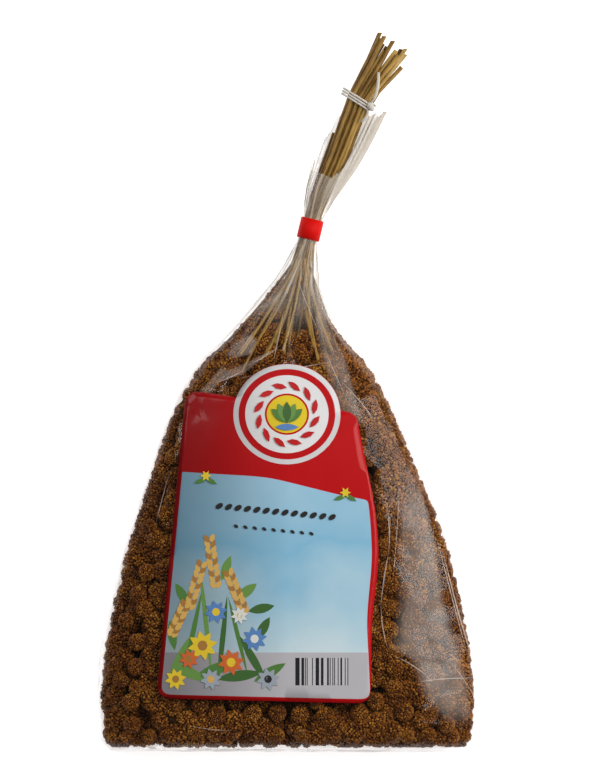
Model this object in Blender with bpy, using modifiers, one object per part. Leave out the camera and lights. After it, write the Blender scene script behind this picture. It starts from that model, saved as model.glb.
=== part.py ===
"""A tied bunch of millet seed heads in a clear film bag, lying on its back.

Run with: blender --background --python part.py

The stems point along +Y and the front of the bag faces +Z. The bag's flat back rests on z = 0, and the
origin is on that back, under the middle of the label. Lengths below are in millimetres, and MM turns them
into the metres of the scene. A station is a place along the bunch, given by its y on the middle line.
"""

import bisect
import math

import bmesh
import bpy
from mathutils import Matrix, Vector, geometry

MM = 0.001
COLLECTION_NAME = "millet_bunch_in_bag"

# Seed heads: columns across the bag, in a front and a back layer, with one more at each side.
COLUMNS = 7
HEAD_RADIUS = 12.2
HEAD_GAP = 0.5
LAYER_SHARE = 0.44
OUTER_SHARE = 0.6
LONG_HEAD_TOP = 150.0
SHORT_HEAD_TOP = 92.0
HEAD_TIP = -84.0
SIDE_HEAD_TIP = -110.5
TOP_TAPER = 16.0
TIP_TAPER = 24.0
CURL_RADIUS = 22.0
CURL_LEVEL = -99.6
CURL_END = {"front": (-2.5, 4.0), "back": (14.0, 20.0)}
LOBE_ROW = 12.5
LOBES_AROUND = 4
LOBE_RELIEF = 0.14
SIDES_OF_SPRAY = 8
STEM_RING_STEP = 20.0
PATH_STEP = 2.0

# Film bag: the wall, its rings and its closed bottom end.
FILM = 0.5
FILM_GAP = 1.1
SIDE_GAP = 1.6
FILM_SEGMENTS = 28
BAG_END = -114.5
MOUTH = 264.0
END_ROUNDING = 14.0
END_CORNER = 9.0
FILM_STATIONS = (
    264, 250, 236, 221, 213, 206, 192, 184, 175, 166, 157, 148, 139, 130, 121, 112, 100, 82, 58, 32, 4,
    -24, -54, -80, -98, -107, -112, -114,
)

# Tape round the neck, and the string round the stems.
TAPE_STATION = 199.0
TAPE_LENGTH = 12.4
TAPE_WALL = 0.5
TAPE_GAP = 0.35
STRING_STATION = 277.0
STRING_RADIUS = 0.75
STRING_TURNS = 3
STRING_PITCH = 2.4
STRING_POINTS = 24
STRING_GAP = 1.3
KNOT_RADIUS = 2.4
KNOT_SHAPE = (1.0, 1.5, 0.8, 1.0)
SHORT_TAIL = (-8.0, 0.02)
LONG_TAIL = (15.0, 0.10)
TAIL_RISE = 2.1
TAIL_LIFT = 0.9

# Shape of the bunch along its length, as (station, value).
MIDDLE_X = (
    (-114, -1.5), (24, -1.5), (80, -4.2), (125, -3.4), (158, 2.0), (178, 7.2), (192, 10.6), (206, 13.9),
    (221, 18.4), (244, 28.6), (276, 40.5), (309, 62.0),
)
TILT_DEG = ((135, 0), (178, 12), (192, 13.5), (206, 13.5), (221, 20), (244, 27), (276, 32), (309, 34))
HALF_WIDTH = (
    (-114, 112), (-80, 114), (-48, 111), (-24, 106), (0, 100.5), (24, 93), (48, 83.5), (72, 75),
    (96, 64.5), (108, 58.5), (120, 50.5), (132, 38), (144, 28), (156, 19.5), (166, 13.5), (175, 10.2),
    (184, 7.5), (192, 6.15), (206, 6.15), (221, 8.8), (244, 13), (264, 16),
)
HIGH = (
    (-114, 55.5), (48, 55.5), (72, 54.5), (96, 52), (108, 49.5), (120, 45.8), (134, 37.8), (150, 27.5),
    (166, 19.5), (184, 15.6), (192, 15.0), (206, 15.0), (221, 16.4), (264, 17.6),
)
LOW = ((-114, -1.5), (60, -1.5), (120, -0.6), (150, 0.6), (175, 2.6), (192, 3.4), (206, 3.4), (264, 2.4))
SQUARENESS = ((-114, 4.0), (60, 4.0), (108, 3.4), (134, 2.7), (166, 2.1), (264, 2.0))
COLUMN_STEP = (
    (-110, 25.9), (-48, 25.3), (-24, 24), (0, 22.6), (24, 21), (48, 19.2), (72, 17.4), (96, 15.0),
    (108, 13.6), (120, 11.0), (132, 7.8), (144, 5.6), (156, 3.8), (166, 2.6), (178, 1.35), (188, 1.03),
    (207, 1.03), (221, 1.25), (244, 1.55), (276, 1.8), (309, 3.1),
)
ROW_STEP = ((190, 1.76), (207, 1.76), (221, 1.9), (276, 2.35), (309, 2.6))
SIDE_RADIUS = ((-24, 12.2), (0, 10.9), (24, 9.2), (48, 7.4), (72, 5.4), (96, 3.2), (108, 2))
STEM_RADIUS = ((206, 0.82), (221, 0.95), (276, 1.25), (309, 1.45))
BUNDLE_Z = 9.2
BUNDLE_FROM = 171.0
FAN_FROM = 146.0
ROWS = {"front_short": 1.5, "front_long": 0.5, "back_long": -0.5, "side": -0.5, "back_short": -1.5}

# Label on the front: four corners, and a round badge that rises past its top edge.
LABEL_CORNERS = ((-79.5, -81.5), (48.5, -84.5), (40.5, 88.0), (-62.0, 102.0))
LABEL_MIDDLE_BULGE = 3.5
LABEL_CORNER_RADIUS = 9.0
LABEL_STEP = 13.0
BADGE_CENTRE = (-1.8, 87.6)
BADGE_RADIUS = 30.0
LABEL_WALL = 0.4
LABEL_GAP = 0.9

COLOURS = {
    "seed": ((0.30, 0.13, 0.04, 1.0), 0.75, 0.0, 0.0),
    "film": ((0.90, 0.91, 0.92, 1.0), 0.12, 0.0, 0.9),
    "label": ((0.45, 0.66, 0.80, 1.0), 0.30, 0.0, 0.0),
    "tape": ((0.72, 0.02, 0.01, 1.0), 0.35, 0.0, 0.0),
    "string": ((0.62, 0.56, 0.46, 1.0), 0.90, 0.0, 0.0),
}


def smooth(keys, at):
    """The value at one station of a curve through (station, value) keys that never overshoots them."""
    places = [key[0] for key in keys]
    values = [key[1] for key in keys]
    if at <= places[0]:
        return float(values[0])
    if at >= places[-1]:
        return float(values[-1])
    rises = [
        (values[i + 1] - values[i]) / (places[i + 1] - places[i])
        for i in range(len(keys) - 1)
    ]

    def slope(i):
        before = rises[max(i - 1, 0)]
        after = rises[min(i, len(rises) - 1)]
        return 2 * before * after / (before + after) if before * after > 0 else 0.0

    i = bisect.bisect_right(places, at) - 1
    span = places[i + 1] - places[i]
    t = (at - places[i]) / span
    start = (2 * t**3 - 3 * t**2 + 1) * values[i] + (t**3 - 2 * t**2 + t) * span * slope(i)
    end = (3 * t**2 - 2 * t**3) * values[i + 1] + (t**3 - t**2) * span * slope(i + 1)
    return start + end


def ease(t):
    t = min(max(t, 0.0), 1.0)
    return t * t * (3 - 2 * t)


def placed(station, across, height):
    """A point of the section at a station: so far across the bunch, and at a height."""
    tilt = math.radians(smooth(TILT_DEG, station))
    x = smooth(MIDDLE_X, station) + across * math.cos(tilt)
    y = station - across * math.sin(tilt)
    return Vector((x, y, height))


def end_rounding(station):
    """How far the closed end has narrowed the bag: a share of its depth, and a length off each side."""
    inside = station - BAG_END
    depth = 1.0
    if inside < END_ROUNDING:
        depth = (1 - (1 - inside / END_ROUNDING) ** 2.5) ** 0.4
    corner = 0.0
    if inside < END_CORNER:
        corner = END_CORNER * (1 - math.sqrt(1 - (1 - inside / END_CORNER) ** 2))
    return depth, corner


def section(station):
    """Half width, middle height, half depth and squareness of the film at a station."""
    depth, corner = end_rounding(station)
    high = smooth(HIGH, station)
    low = smooth(LOW, station)
    half_width = smooth(HALF_WIDTH, station) - corner
    return half_width, (high + low) / 2, (high - low) / 2 * depth, smooth(SQUARENESS, station)


def film_front(x, y):
    """Height of the film's outer face above a point of the bag's front."""
    half_width, middle, half_depth, power = section(y)
    share = min(abs(x - smooth(MIDDLE_X, y)) / half_width, 1.0)
    return middle + half_depth * (1 - share**power) ** (1 / power)


def material(name):
    colour, roughness, metallic, transmission = COLOURS[name]
    made = bpy.data.materials.new(name)
    made.diffuse_color = colour
    made.use_nodes = True
    shader = made.node_tree.nodes["Principled BSDF"]
    shader.inputs["Base Color"].default_value = colour
    shader.inputs["Roughness"].default_value = roughness
    shader.inputs["Metallic"].default_value = metallic
    shader.inputs["Transmission Weight"].default_value = transmission
    return made


def add_mesh(name, bm, surface, collection):
    mesh = bpy.data.meshes.new(name)
    bm.to_mesh(mesh)
    bm.free()
    mesh.materials.append(surface)
    mesh.shade_smooth()
    obj = bpy.data.objects.new(name, mesh)
    collection.objects.link(obj)
    return obj


def reshaped_sphere(segments, stations, point_at):
    """A closed body from a sphere: its rings go to the stations in order, its poles to the first and last."""
    rings = len(stations) - 1
    bm = bmesh.new()
    bmesh.ops.create_uvsphere(bm, u_segments=segments, v_segments=rings, radius=1.0)
    for vertex in bm.verts:
        polar = math.acos(max(-1.0, min(1.0, vertex.co.z)))
        ring = round(polar / math.pi * rings)
        angle = math.atan2(vertex.co.y, vertex.co.x)
        pole = ring in (0, rings)
        vertex.co = point_at(stations[ring], angle, pole) * MM
    if bm.calc_volume(signed=True) < 0:
        bmesh.ops.reverse_faces(bm, faces=bm.faces)
    return bm


def limit_radius(kind, station):
    """The largest radius that keeps a head of this kind clear of its neighbours at a station."""
    step = smooth(COLUMN_STEP, station)
    if kind == "side":
        return smooth(SIDE_RADIUS, station)
    if kind.endswith("long"):
        return min(HEAD_RADIUS, step - HEAD_GAP * 0.6, section(station)[2] * LAYER_SHARE)
    nested = step**2 - 2 * HEAD_GAP * HEAD_RADIUS - HEAD_GAP**2
    return min(HEAD_RADIUS, max(nested / (4 * HEAD_RADIUS + 2 * HEAD_GAP), smooth(STEM_RADIUS, station)))


def spray_point(kind, column, station):
    """Where the middle of a spray passes a station."""
    half_width, middle, half_depth, power = section(max(station, BAG_END + END_ROUNDING))
    radius = limit_radius(kind, station)
    inset = FILM + (SIDE_GAP if kind == "side" else FILM_GAP) + radius
    across = (column - (COLUMNS - 1) / 2) * smooth(COLUMN_STEP, station)
    to_fan = ease((BUNDLE_FROM - station) / (BUNDLE_FROM - FAN_FROM))
    if kind == "side":
        outermost = math.copysign(half_width - inset, across)
        across += (outermost - across) * to_fan
        fan_height = middle
    else:
        share = min((abs(across) + radius * OUTER_SHARE) / half_width, 0.98)
        reach = half_depth * (1 - share**power) ** (1 / power) - inset
        if kind.startswith("front"):
            fan_height = middle + reach
        else:
            fan_height = max(middle - reach, inset)
    bundle_height = BUNDLE_Z + ROWS[kind] * smooth(ROW_STEP, station)
    return placed(station, across, bundle_height + (fan_height - bundle_height) * to_fan)


def spray_path(kind, column, cut_station, tip_station, curl_to):
    """Points along a spray, from its cut end to its tip, with the place of each along the bunch."""
    points = []
    stations = []
    station = cut_station
    turn = CURL_LEVEL + CURL_RADIUS if curl_to is not None else tip_station
    while station > turn:
        points.append(spray_point(kind, column, station))
        stations.append(station)
        station -= PATH_STEP
    if curl_to is None:
        points.append(spray_point(kind, column, tip_station))
        stations.append(tip_station)
        return points, stations
    start = spray_point(kind, column, turn)
    side = -math.copysign(1.0, start.x)
    steps = 18
    for i in range(steps + 1):
        angle = math.pi / 2 * i / steps
        across = CURL_RADIUS * (1 - math.cos(angle)) * side
        down = CURL_RADIUS * math.sin(angle)
        points.append(start + Vector((across, -down, 0)))
        stations.append(turn - down)
    while (curl_to - points[-1].x) * side > PATH_STEP:
        points.append(points[-1] + Vector((PATH_STEP * side, 0, 0)))
        stations.append(CURL_LEVEL)
    return points, stations


class Path:
    """A smooth line through points, asked by its length from the cut end."""

    def __init__(self, points, stations):
        self.points = points
        self.stations = stations
        self.lengths = [0.0]
        for before, after in zip(points, points[1:]):
            self.lengths.append(self.lengths[-1] + (after - before).length)
        self.length = self.lengths[-1]

    def place(self, along):
        along = min(max(along, 0.0), self.length - 1e-6)
        i = bisect.bisect_right(self.lengths, along) - 1
        share = (along - self.lengths[i]) / (self.lengths[i + 1] - self.lengths[i])
        station = self.stations[i] + (self.stations[i + 1] - self.stations[i]) * share
        return self.points[i].lerp(self.points[i + 1], share), station

    def axes(self, along, reach=3.0):
        """Sideways and upright directions across the path."""
        ahead = self.place(along + reach)[0] - self.place(along - reach)[0]
        sideways = ahead.cross(Vector((0, 0, 1))).normalized()
        return sideways, sideways.cross(ahead).normalized()


def build_spray(name, kind, column, cut_station, top_station, tip_station, curl_to, surface, collection):
    """One stem with its lobed seed head, as one closed body."""
    path = Path(*spray_path(kind, column, cut_station, tip_station, curl_to))
    nearest = min(range(len(path.points)), key=lambda i: abs(path.stations[i] - top_station))
    head_start = path.lengths[nearest]
    stem_rings = max(2, round(head_start / STEM_RING_STEP))
    head_rings = round((path.length - head_start) / (LOBE_ROW / 2))
    ring_step = (path.length - head_start) / head_rings
    along = [0.0, 0.0]
    along += [head_start * (i + 1) / stem_rings for i in range(stem_rings)]
    along += [head_start + ring_step * (i + 1) for i in range(head_rings - 1)]
    along += [path.length - ring_step * 0.35, path.length]
    turn = 0.6 * column

    def point_at(length, angle, pole):
        middle, station = path.place(length)
        if pole:
            return middle
        stem = smooth(STEM_RADIUS, station)
        to_tip = min((path.length - length) / TIP_TAPER, 1.0)
        from_top = ease((length - head_start) / TOP_TAPER)
        growth = from_top * math.sqrt(max(1 - (1 - to_tip) ** 2, 0.0))
        head = max(limit_radius(kind, station) - stem, 0.0) * growth
        if length <= head_start:
            head = 0.0
        row = (length - head_start) / LOBE_ROW
        lobe = math.cos(LOBES_AROUND * angle) * math.cos(math.pi * row)
        rim = stem * (1.0 if length <= head_start else math.sqrt(max(1 - (1 - to_tip) ** 2, 0.05)))
        radius = rim + head * (1 - LOBE_RELIEF + LOBE_RELIEF * lobe)
        sideways, upright = path.axes(length)
        return middle + (sideways * math.cos(angle + turn) + upright * math.sin(angle + turn)) * radius

    bm = reshaped_sphere(SIDES_OF_SPRAY, along, point_at)
    return add_mesh(name, bm, surface, collection)


def build_sprays(surface, collection):
    """Seven columns in two layers, long and short heads in turn, and one spray at each side."""
    for layer in ("front", "back"):
        for column in range(COLUMNS):
            long_head = (column % 2 == 0) == (layer == "front")
            kind = f"{layer}_{'long' if long_head else 'short'}"
            curl_to = {0: CURL_END[layer][0], COLUMNS - 1: CURL_END[layer][1]}.get(column)
            top = LONG_HEAD_TOP if long_head else SHORT_HEAD_TOP
            if layer == "front" and curl_to is not None:
                top -= 14.0
            cut = 309.0 + 4.0 * math.sin(2.4 * column + (0.0 if layer == "front" else 1.1))
            tip = HEAD_TIP + 5.0 * (column % 3)
            name = f"spray_{layer}_{column + 1}"
            build_spray(name, kind, column, cut, top, tip, curl_to, surface, collection)
    for name, column, cut in (("spray_side_left", -1, 254.0), ("spray_side_right", COLUMNS, 303.0)):
        build_spray(name, "side", column, cut, 100.0, SIDE_HEAD_TIP, None, surface, collection)


def build_bag(surface, collection):
    """The clear bag: one wall from its open mouth, through the neck and shoulders, to its closed end."""

    def point_at(station, angle, pole):
        half_width, middle, half_depth, power = section(max(station, -114.0))
        if pole:
            return placed(station, 0.0, middle)
        cosine = math.cos(angle)
        sine = math.sin(angle)
        across = half_width * math.copysign(abs(cosine) ** (2 / power), cosine)
        height = middle + half_depth * math.copysign(abs(sine) ** (2 / power), sine)
        return placed(station, across, max(height, 0.0))

    bm = reshaped_sphere(FILM_SEGMENTS, [MOUTH, *FILM_STATIONS, BAG_END], point_at)
    poles = [vertex for vertex in bm.verts if len(vertex.link_edges) == FILM_SEGMENTS]
    mouth_pole = max(poles, key=lambda vertex: vertex.co.y)
    bmesh.ops.delete(bm, geom=[mouth_pole], context="VERTS")
    obj = add_mesh("bag_film", bm, surface, collection)
    wall = obj.modifiers.new("wall", "SOLIDIFY")
    wall.thickness = FILM * MM
    wall.offset = -1
    return obj


def build_tape(surface, collection):
    """A short sleeve of tape round the neck of the bag."""
    half_width, middle, half_depth, _ = section(TAPE_STATION)
    bm = bmesh.new()
    bmesh.ops.create_cone(
        bm, segments=32, radius1=1.0, radius2=1.0, depth=TAPE_LENGTH * MM, cap_ends=False
    )
    for vertex in bm.verts:
        vertex.co.x *= (half_width + TAPE_GAP + TAPE_WALL) * MM
        vertex.co.y *= (half_depth + TAPE_GAP + TAPE_WALL) * MM
    along_y = Matrix.Rotation(math.radians(-90), 4, "X")
    tilt = Matrix.Rotation(-math.radians(smooth(TILT_DEG, TAPE_STATION)), 4, "Z")
    bmesh.ops.transform(bm, matrix=tilt @ along_y, verts=bm.verts)
    obj = add_mesh("neck_tape", bm, surface, collection)
    obj.location = placed(TAPE_STATION, 0.0, middle) * MM
    wall = obj.modifiers.new("wall", "SOLIDIFY")
    wall.thickness = TAPE_WALL * MM
    wall.offset = -1
    return obj


def string_point(turns, along, out=0.0):
    """A point of the string: turns round the stems from the front right, and a length along them."""
    station = STRING_STATION + along
    stem = smooth(STEM_RADIUS, station)
    clear = stem + STRING_GAP + STRING_RADIUS + out
    half_width = 4 * smooth(COLUMN_STEP, station) + clear
    half_depth = 1.5 * smooth(ROW_STEP, station) + clear
    angle = math.radians(50) + 2 * math.pi * turns
    corner = 2 / 2.6
    across = half_width * math.copysign(abs(math.cos(angle)) ** corner, math.cos(angle))
    rise = half_depth * math.copysign(abs(math.sin(angle)) ** corner, math.sin(angle))
    return placed(station, across, BUNDLE_Z + rise)


def tail_points(start, tail, count=5):
    """Points of a loose end, from the turns outwards: it arches up and drifts round the stems."""
    length, drift = tail
    points = []
    for i in range(1, count + 1):
        share = i / count
        arch = TAIL_RISE * math.sin(math.pi * share) + TAIL_LIFT
        points.append(string_point(drift * share, start + length * share, out=arch))
    return points


def build_string(surface, collection):
    """Three turns of string round the stems, with a knot at the front and two loose ends."""
    first = -STRING_TURNS * STRING_PITCH / 2
    points = tail_points(first, SHORT_TAIL)[::-1]
    for i in range(STRING_TURNS * STRING_POINTS + 1):
        turns = i / STRING_POINTS
        points.append(string_point(turns, first + STRING_PITCH * turns))
    points += tail_points(-first, LONG_TAIL)
    curve = bpy.data.curves.new("string_line", "CURVE")
    curve.dimensions = "3D"
    curve.bevel_depth = STRING_RADIUS * MM
    curve.bevel_resolution = 1
    curve.use_fill_caps = True
    spline = curve.splines.new("POLY")
    spline.points.add(len(points) - 1)
    for target, point in zip(spline.points, points):
        target.co = (*(point * MM), 1.0)
    guide = bpy.data.objects.new("string_line", curve)
    collection.objects.link(guide)
    graph = bpy.context.evaluated_depsgraph_get()
    mesh = bpy.data.meshes.new_from_object(guide.evaluated_get(graph))
    bpy.data.objects.remove(guide)
    bm = bmesh.new()
    bm.from_mesh(mesh)
    bmesh.ops.remove_doubles(bm, verts=bm.verts, dist=1e-6)
    bmesh.ops.recalc_face_normals(bm, faces=bm.faces)
    obj = add_mesh("string_tie", bm, surface, collection)
    knot_mesh = bmesh.new()
    bmesh.ops.create_icosphere(knot_mesh, subdivisions=2, radius=KNOT_RADIUS * MM)
    centre = string_point(0.0, 0.0, out=KNOT_RADIUS * 0.75)
    matrix = Matrix.Translation(centre * MM) @ Matrix.Diagonal(KNOT_SHAPE)
    bmesh.ops.transform(knot_mesh, matrix=matrix, verts=knot_mesh.verts)
    knot = add_mesh("string_knot", knot_mesh, surface, collection)
    knot.hide_render = True
    knot.display_type = "WIRE"
    joined = obj.modifiers.new("knot", "BOOLEAN")
    joined.operation = "UNION"
    joined.object = knot
    return obj


def rounded_corner(before, corner, after, radius, steps=5):
    """Points of the curve that rounds one corner of an outline."""
    into = (corner - before).normalized()
    away = (after - corner).normalized()
    set_back = radius * math.tan(into.angle(away) / 2)
    start = corner - into * set_back
    end = corner + away * set_back
    shares = [i / steps for i in range(steps + 1)]
    return [start.lerp(corner, share).lerp(corner.lerp(end, share), share) for share in shares]


def label_outline():
    """The label's edge, from its lower left corner round to its upper left one, by way of the badge."""
    corners = [Vector(corner) for corner in LABEL_CORNERS]
    centre = Vector(BADGE_CENTRE)
    rounded = []
    for i, corner in enumerate(corners):
        rounded.append(rounded_corner(corners[i - 1], corner, corners[(i + 1) % 4], LABEL_CORNER_RADIUS))
    top = (corners[3] - corners[2]).normalized()
    near = (centre - corners[2]).dot(top)
    foot = corners[2] + top * near
    half_chord = math.sqrt(BADGE_RADIUS**2 - (foot - centre).length ** 2)
    first = foot - top * half_chord - centre
    last = foot + top * half_chord - centre
    start_angle = math.atan2(first.y, first.x)
    end_angle = math.atan2(last.y, last.x)
    badge = []
    steps = 18
    for i in range(steps + 1):
        angle = start_angle + (end_angle - start_angle) * i / steps
        badge.append(centre + Vector((math.cos(angle), math.sin(angle))) * BADGE_RADIUS)
    bottom = side_points(rounded[0][-1], rounded[1][0])
    right = side_points(rounded[1][-1], rounded[2][0], LABEL_MIDDLE_BULGE)
    left = side_points(rounded[3][-1], rounded[0][0])
    return rounded[0] + bottom + rounded[1] + right + rounded[2] + badge + rounded[3] + left


def side_points(start, end, bulge=0.0):
    """Points between the ends of one side, a step apart, bowed outwards by the bulge."""
    count = max(2, round((end - start).length / LABEL_STEP))
    out = Vector((end.y - start.y, start.x - end.x)).normalized()
    return [
        start.lerp(end, i / count) + out * bulge * math.sin(math.pi * i / count)
        for i in range(1, count)
    ]


def inside(point, outline):
    """Whether a point is inside an outline, and not close to its edge."""
    crossings = 0
    for a, b in zip(outline, outline[1:] + outline[:1]):
        along = b - a
        share = min(max((point - a).dot(along) / along.length_squared, 0.0), 1.0)
        if (point - a - along * share).length < LABEL_STEP * 0.45:
            return False
        if (a.y > point.y) != (b.y > point.y):
            crossings += point.x < a.x + (point.y - a.y) / (b.y - a.y) * (b.x - a.x)
    return crossings % 2 == 1


def build_label(surface, collection):
    """A printed label that follows the front of the bag, with its round badge."""
    outline = label_outline()
    lowest = min(point.y for point in outline)
    leftmost = min(point.x for point in outline)
    rows = round((max(point.y for point in outline) - lowest) / LABEL_STEP)
    columns = round((max(point.x for point in outline) - leftmost) / LABEL_STEP)
    filling = []
    for row in range(rows + 1):
        for column in range(columns + 1):
            point = Vector((leftmost + column * LABEL_STEP, lowest + row * LABEL_STEP))
            if inside(point, outline):
                filling.append(point)
    edges = [(i, (i + 1) % len(outline)) for i in range(len(outline))]
    points, _, faces, *_ = geometry.delaunay_2d_cdt(outline + filling, edges, [], 1, 1e-4)
    bm = bmesh.new()
    corners = []
    for point in points:
        height = film_front(point.x, point.y) + LABEL_GAP
        corners.append(bm.verts.new(Vector((point.x, point.y, height)) * MM))
    for face in faces:
        bm.faces.new([corners[i] for i in face])
    bmesh.ops.recalc_face_normals(bm, faces=bm.faces)
    if sum(face.normal.z for face in bm.faces) < 0:
        bmesh.ops.reverse_faces(bm, faces=bm.faces)
    obj = add_mesh("label", bm, surface, collection)
    wall = obj.modifiers.new("wall", "SOLIDIFY")
    wall.thickness = LABEL_WALL * MM
    wall.offset = 1
    return obj


def build():
    for obj in list(bpy.data.objects):
        bpy.data.objects.remove(obj)
    collection = bpy.data.collections.new(COLLECTION_NAME)
    bpy.context.scene.collection.children.link(collection)
    surfaces = {name: material(name) for name in COLOURS}
    build_sprays(surfaces["seed"], collection)
    build_bag(surfaces["film"], collection)
    build_tape(surfaces["tape"], collection)
    build_string(surfaces["string"], collection)
    build_label(surfaces["label"], collection)


build()
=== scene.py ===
# %% [markdown]
# # A bagged bunch of millet seed heads
#
# Sixteen dry millet sprays lie in a clear film bag. Their stems leave through the bag's neck, which red tape
# closes, and a string holds the stems near their cut ends. A printed label lies on the front. The packed
# model gives every place and size. This script gives the seeds, the creased film, the printed label and
# the light.

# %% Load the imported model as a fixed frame
import math
import random

import bmesh
import bpy
from mathutils import Matrix, Vector, noise
from mathutils.bvhtree import BVHTree
from mathutils.kdtree import KDTree


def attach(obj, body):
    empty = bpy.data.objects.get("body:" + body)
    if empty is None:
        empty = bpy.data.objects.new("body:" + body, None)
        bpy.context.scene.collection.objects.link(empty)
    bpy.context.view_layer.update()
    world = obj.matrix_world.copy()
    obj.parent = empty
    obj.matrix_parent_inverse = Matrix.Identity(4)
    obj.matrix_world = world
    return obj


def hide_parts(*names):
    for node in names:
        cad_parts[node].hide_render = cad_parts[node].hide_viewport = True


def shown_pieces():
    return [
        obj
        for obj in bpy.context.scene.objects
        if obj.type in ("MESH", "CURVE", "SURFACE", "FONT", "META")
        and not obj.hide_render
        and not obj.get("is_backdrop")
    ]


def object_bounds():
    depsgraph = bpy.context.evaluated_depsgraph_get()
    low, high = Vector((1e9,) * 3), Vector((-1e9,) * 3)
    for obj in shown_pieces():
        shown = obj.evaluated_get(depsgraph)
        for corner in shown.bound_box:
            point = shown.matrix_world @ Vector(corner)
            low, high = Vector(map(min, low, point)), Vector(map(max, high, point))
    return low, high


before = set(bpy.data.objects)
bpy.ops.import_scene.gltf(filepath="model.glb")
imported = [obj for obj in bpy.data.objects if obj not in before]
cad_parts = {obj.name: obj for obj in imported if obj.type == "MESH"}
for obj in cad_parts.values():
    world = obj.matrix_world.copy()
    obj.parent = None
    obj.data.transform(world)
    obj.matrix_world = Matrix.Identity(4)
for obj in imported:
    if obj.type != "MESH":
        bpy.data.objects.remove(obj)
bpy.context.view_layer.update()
MM = 0.001

# %% [markdown]
# ## Small helpers
#
# Every new piece is a bmesh turned into an object at the origin, with its place in its mesh. A node's mesh
# arrives as loose triangles, so a copy is merged before it is used as a shape to build on. A line dropped
# from above tells how high a surface is at a place.

# %% Make an object from a bmesh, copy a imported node, and find how high a surface is
UP = Vector((0, 0, 1))
ABOVE_ALL = 200.0
SAME_PLACE = 1e-6


def as_mesh(name, bm):
    mesh = bpy.data.meshes.new(name)
    bm.to_mesh(mesh)
    bm.free()
    return mesh


def add_piece(name, bm, materials, smooth=True):
    mesh = as_mesh(name, bm)
    for surface in materials:
        mesh.materials.append(surface)
    if smooth:
        mesh.shade_smooth()
    obj = bpy.data.objects.new(name, mesh)
    bpy.context.scene.collection.objects.link(obj)
    return obj


def merged_copy(node):
    bm = bmesh.new()
    bm.from_mesh(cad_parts[node].data)
    bmesh.ops.remove_doubles(bm, verts=bm.verts, dist=SAME_PLACE)
    return bm


def stand_for(piece, node):
    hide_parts(node)
    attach(piece, "root")


def height_at(tree, x, y):
    """The height in metres of the surface below a place in millimetres, or nothing."""
    hit = tree.ray_cast(Vector((x, y, ABOVE_ALL)) * MM, -UP)[0]
    return None if hit is None else hit.z


# %% [markdown]
# ## Materials with a few nodes each
#
# Each surface is one Principled shader. Its colour comes from a pattern that has the real thing's scale: a
# different brown for each seed, streaks along the straw, soft white haze in the film, which is partly
# painted glare and shade.


# %% Start a node material, and add and join its nodes
def new_material(name, roughness, specular=0.5, colour=None):
    surface = bpy.data.materials.new(name)
    surface.use_nodes = True
    shader = surface.node_tree.nodes["Principled BSDF"]
    shader.inputs["Roughness"].default_value = roughness
    shader.inputs["Specular IOR Level"].default_value = specular
    if colour:
        shader.inputs["Base Color"].default_value = (*colour, 1.0)
    return surface, shader


def add_node(surface, kind, **values):
    """A node, with each value linked or set on the input of its name, or else set on the node itself."""
    node = surface.node_tree.nodes.new("ShaderNode" + kind)
    for name, value in values.items():
        if isinstance(value, bpy.types.NodeSocket):
            link(surface, value, node.inputs[name])
        elif name in node.inputs:
            node.inputs[name].default_value = value
        else:
            setattr(node, name, value)
    return node


def link(surface, output, target):
    surface.node_tree.links.new(output, target)


def feed(surface, socket, value):
    """Gives a socket a number, a colour or another node's output."""
    if isinstance(value, tuple):
        socket.default_value = (*value, 1.0)
    elif isinstance(value, (int, float)):
        socket.default_value = value
    else:
        link(surface, value, socket)


def ramp(surface, factor, stops):
    """A colour ramp through (place, colour) stops, fed by a factor."""
    node = add_node(surface, "ValToRGB", Fac=factor)
    elements = node.color_ramp.elements
    while len(elements) < len(stops):
        elements.new(0.5)
    for element, (place, colour) in zip(elements, stops):
        element.position = place
        element.color = (*colour, 1.0)
    return node.outputs["Color"]


def math_node(surface, operation, *values, clamp=False):
    node = add_node(surface, "Math", operation=operation, use_clamp=clamp)
    for socket, value in zip(node.inputs, values):
        feed(surface, socket, value)
    return node.outputs[0]


def mix_colour(surface, factor, first, second, blend="MIX"):
    node = add_node(surface, "Mix", data_type="RGBA", blend_type=blend)
    for socket, value in ((node.inputs[0], factor), (node.inputs[6], first), (node.inputs[7], second)):
        feed(surface, socket, value)
    return node.outputs[2]


def mix_shaders(surface, factor, first, second):
    node = add_node(surface, "MixShader")
    for socket, value in zip(node.inputs, (factor, first, second)):
        feed(surface, socket, value)
    return node.outputs[0]


def object_noise(surface, scale, detail):
    """A noise pattern that is fixed to the piece."""
    place = add_node(surface, "TexCoord").outputs["Object"]
    return add_node(surface, "TexNoise", Vector=place, Scale=scale, Detail=detail).outputs["Fac"]


def own_tone(surface, strength):
    """A number from 0 to a strength, another one for each loose part of a mesh."""
    geometry = add_node(surface, "NewGeometry")
    return math_node(surface, "MULTIPLY", geometry.outputs["Random Per Island"], strength)


def add_bump(surface, shader, height, strength, distance):
    bump = add_node(surface, "Bump", Height=height, Strength=strength, Distance=distance)
    link(surface, bump.outputs["Normal"], shader.inputs["Normal"])


# %% [markdown]
# ## The seeds' colour
#
# Red millet is a warm orange brown, and no two seeds have the same tone. Random Per Island gives each loose
# part of a mesh, here each seed, one number of its own. A slow noise lets whole clusters differ a little
# too, as they ripen at different times. Straw gets its streaks from a noise that is long one way, turned as
# the bunch of stems is.

# %% Seed, chaff and straw materials
OWN_TONE = 0.55
STEMS_TURN = math.radians(30)
STRAW_GRAIN = (1500.0, 40.0, 1500.0)


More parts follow.
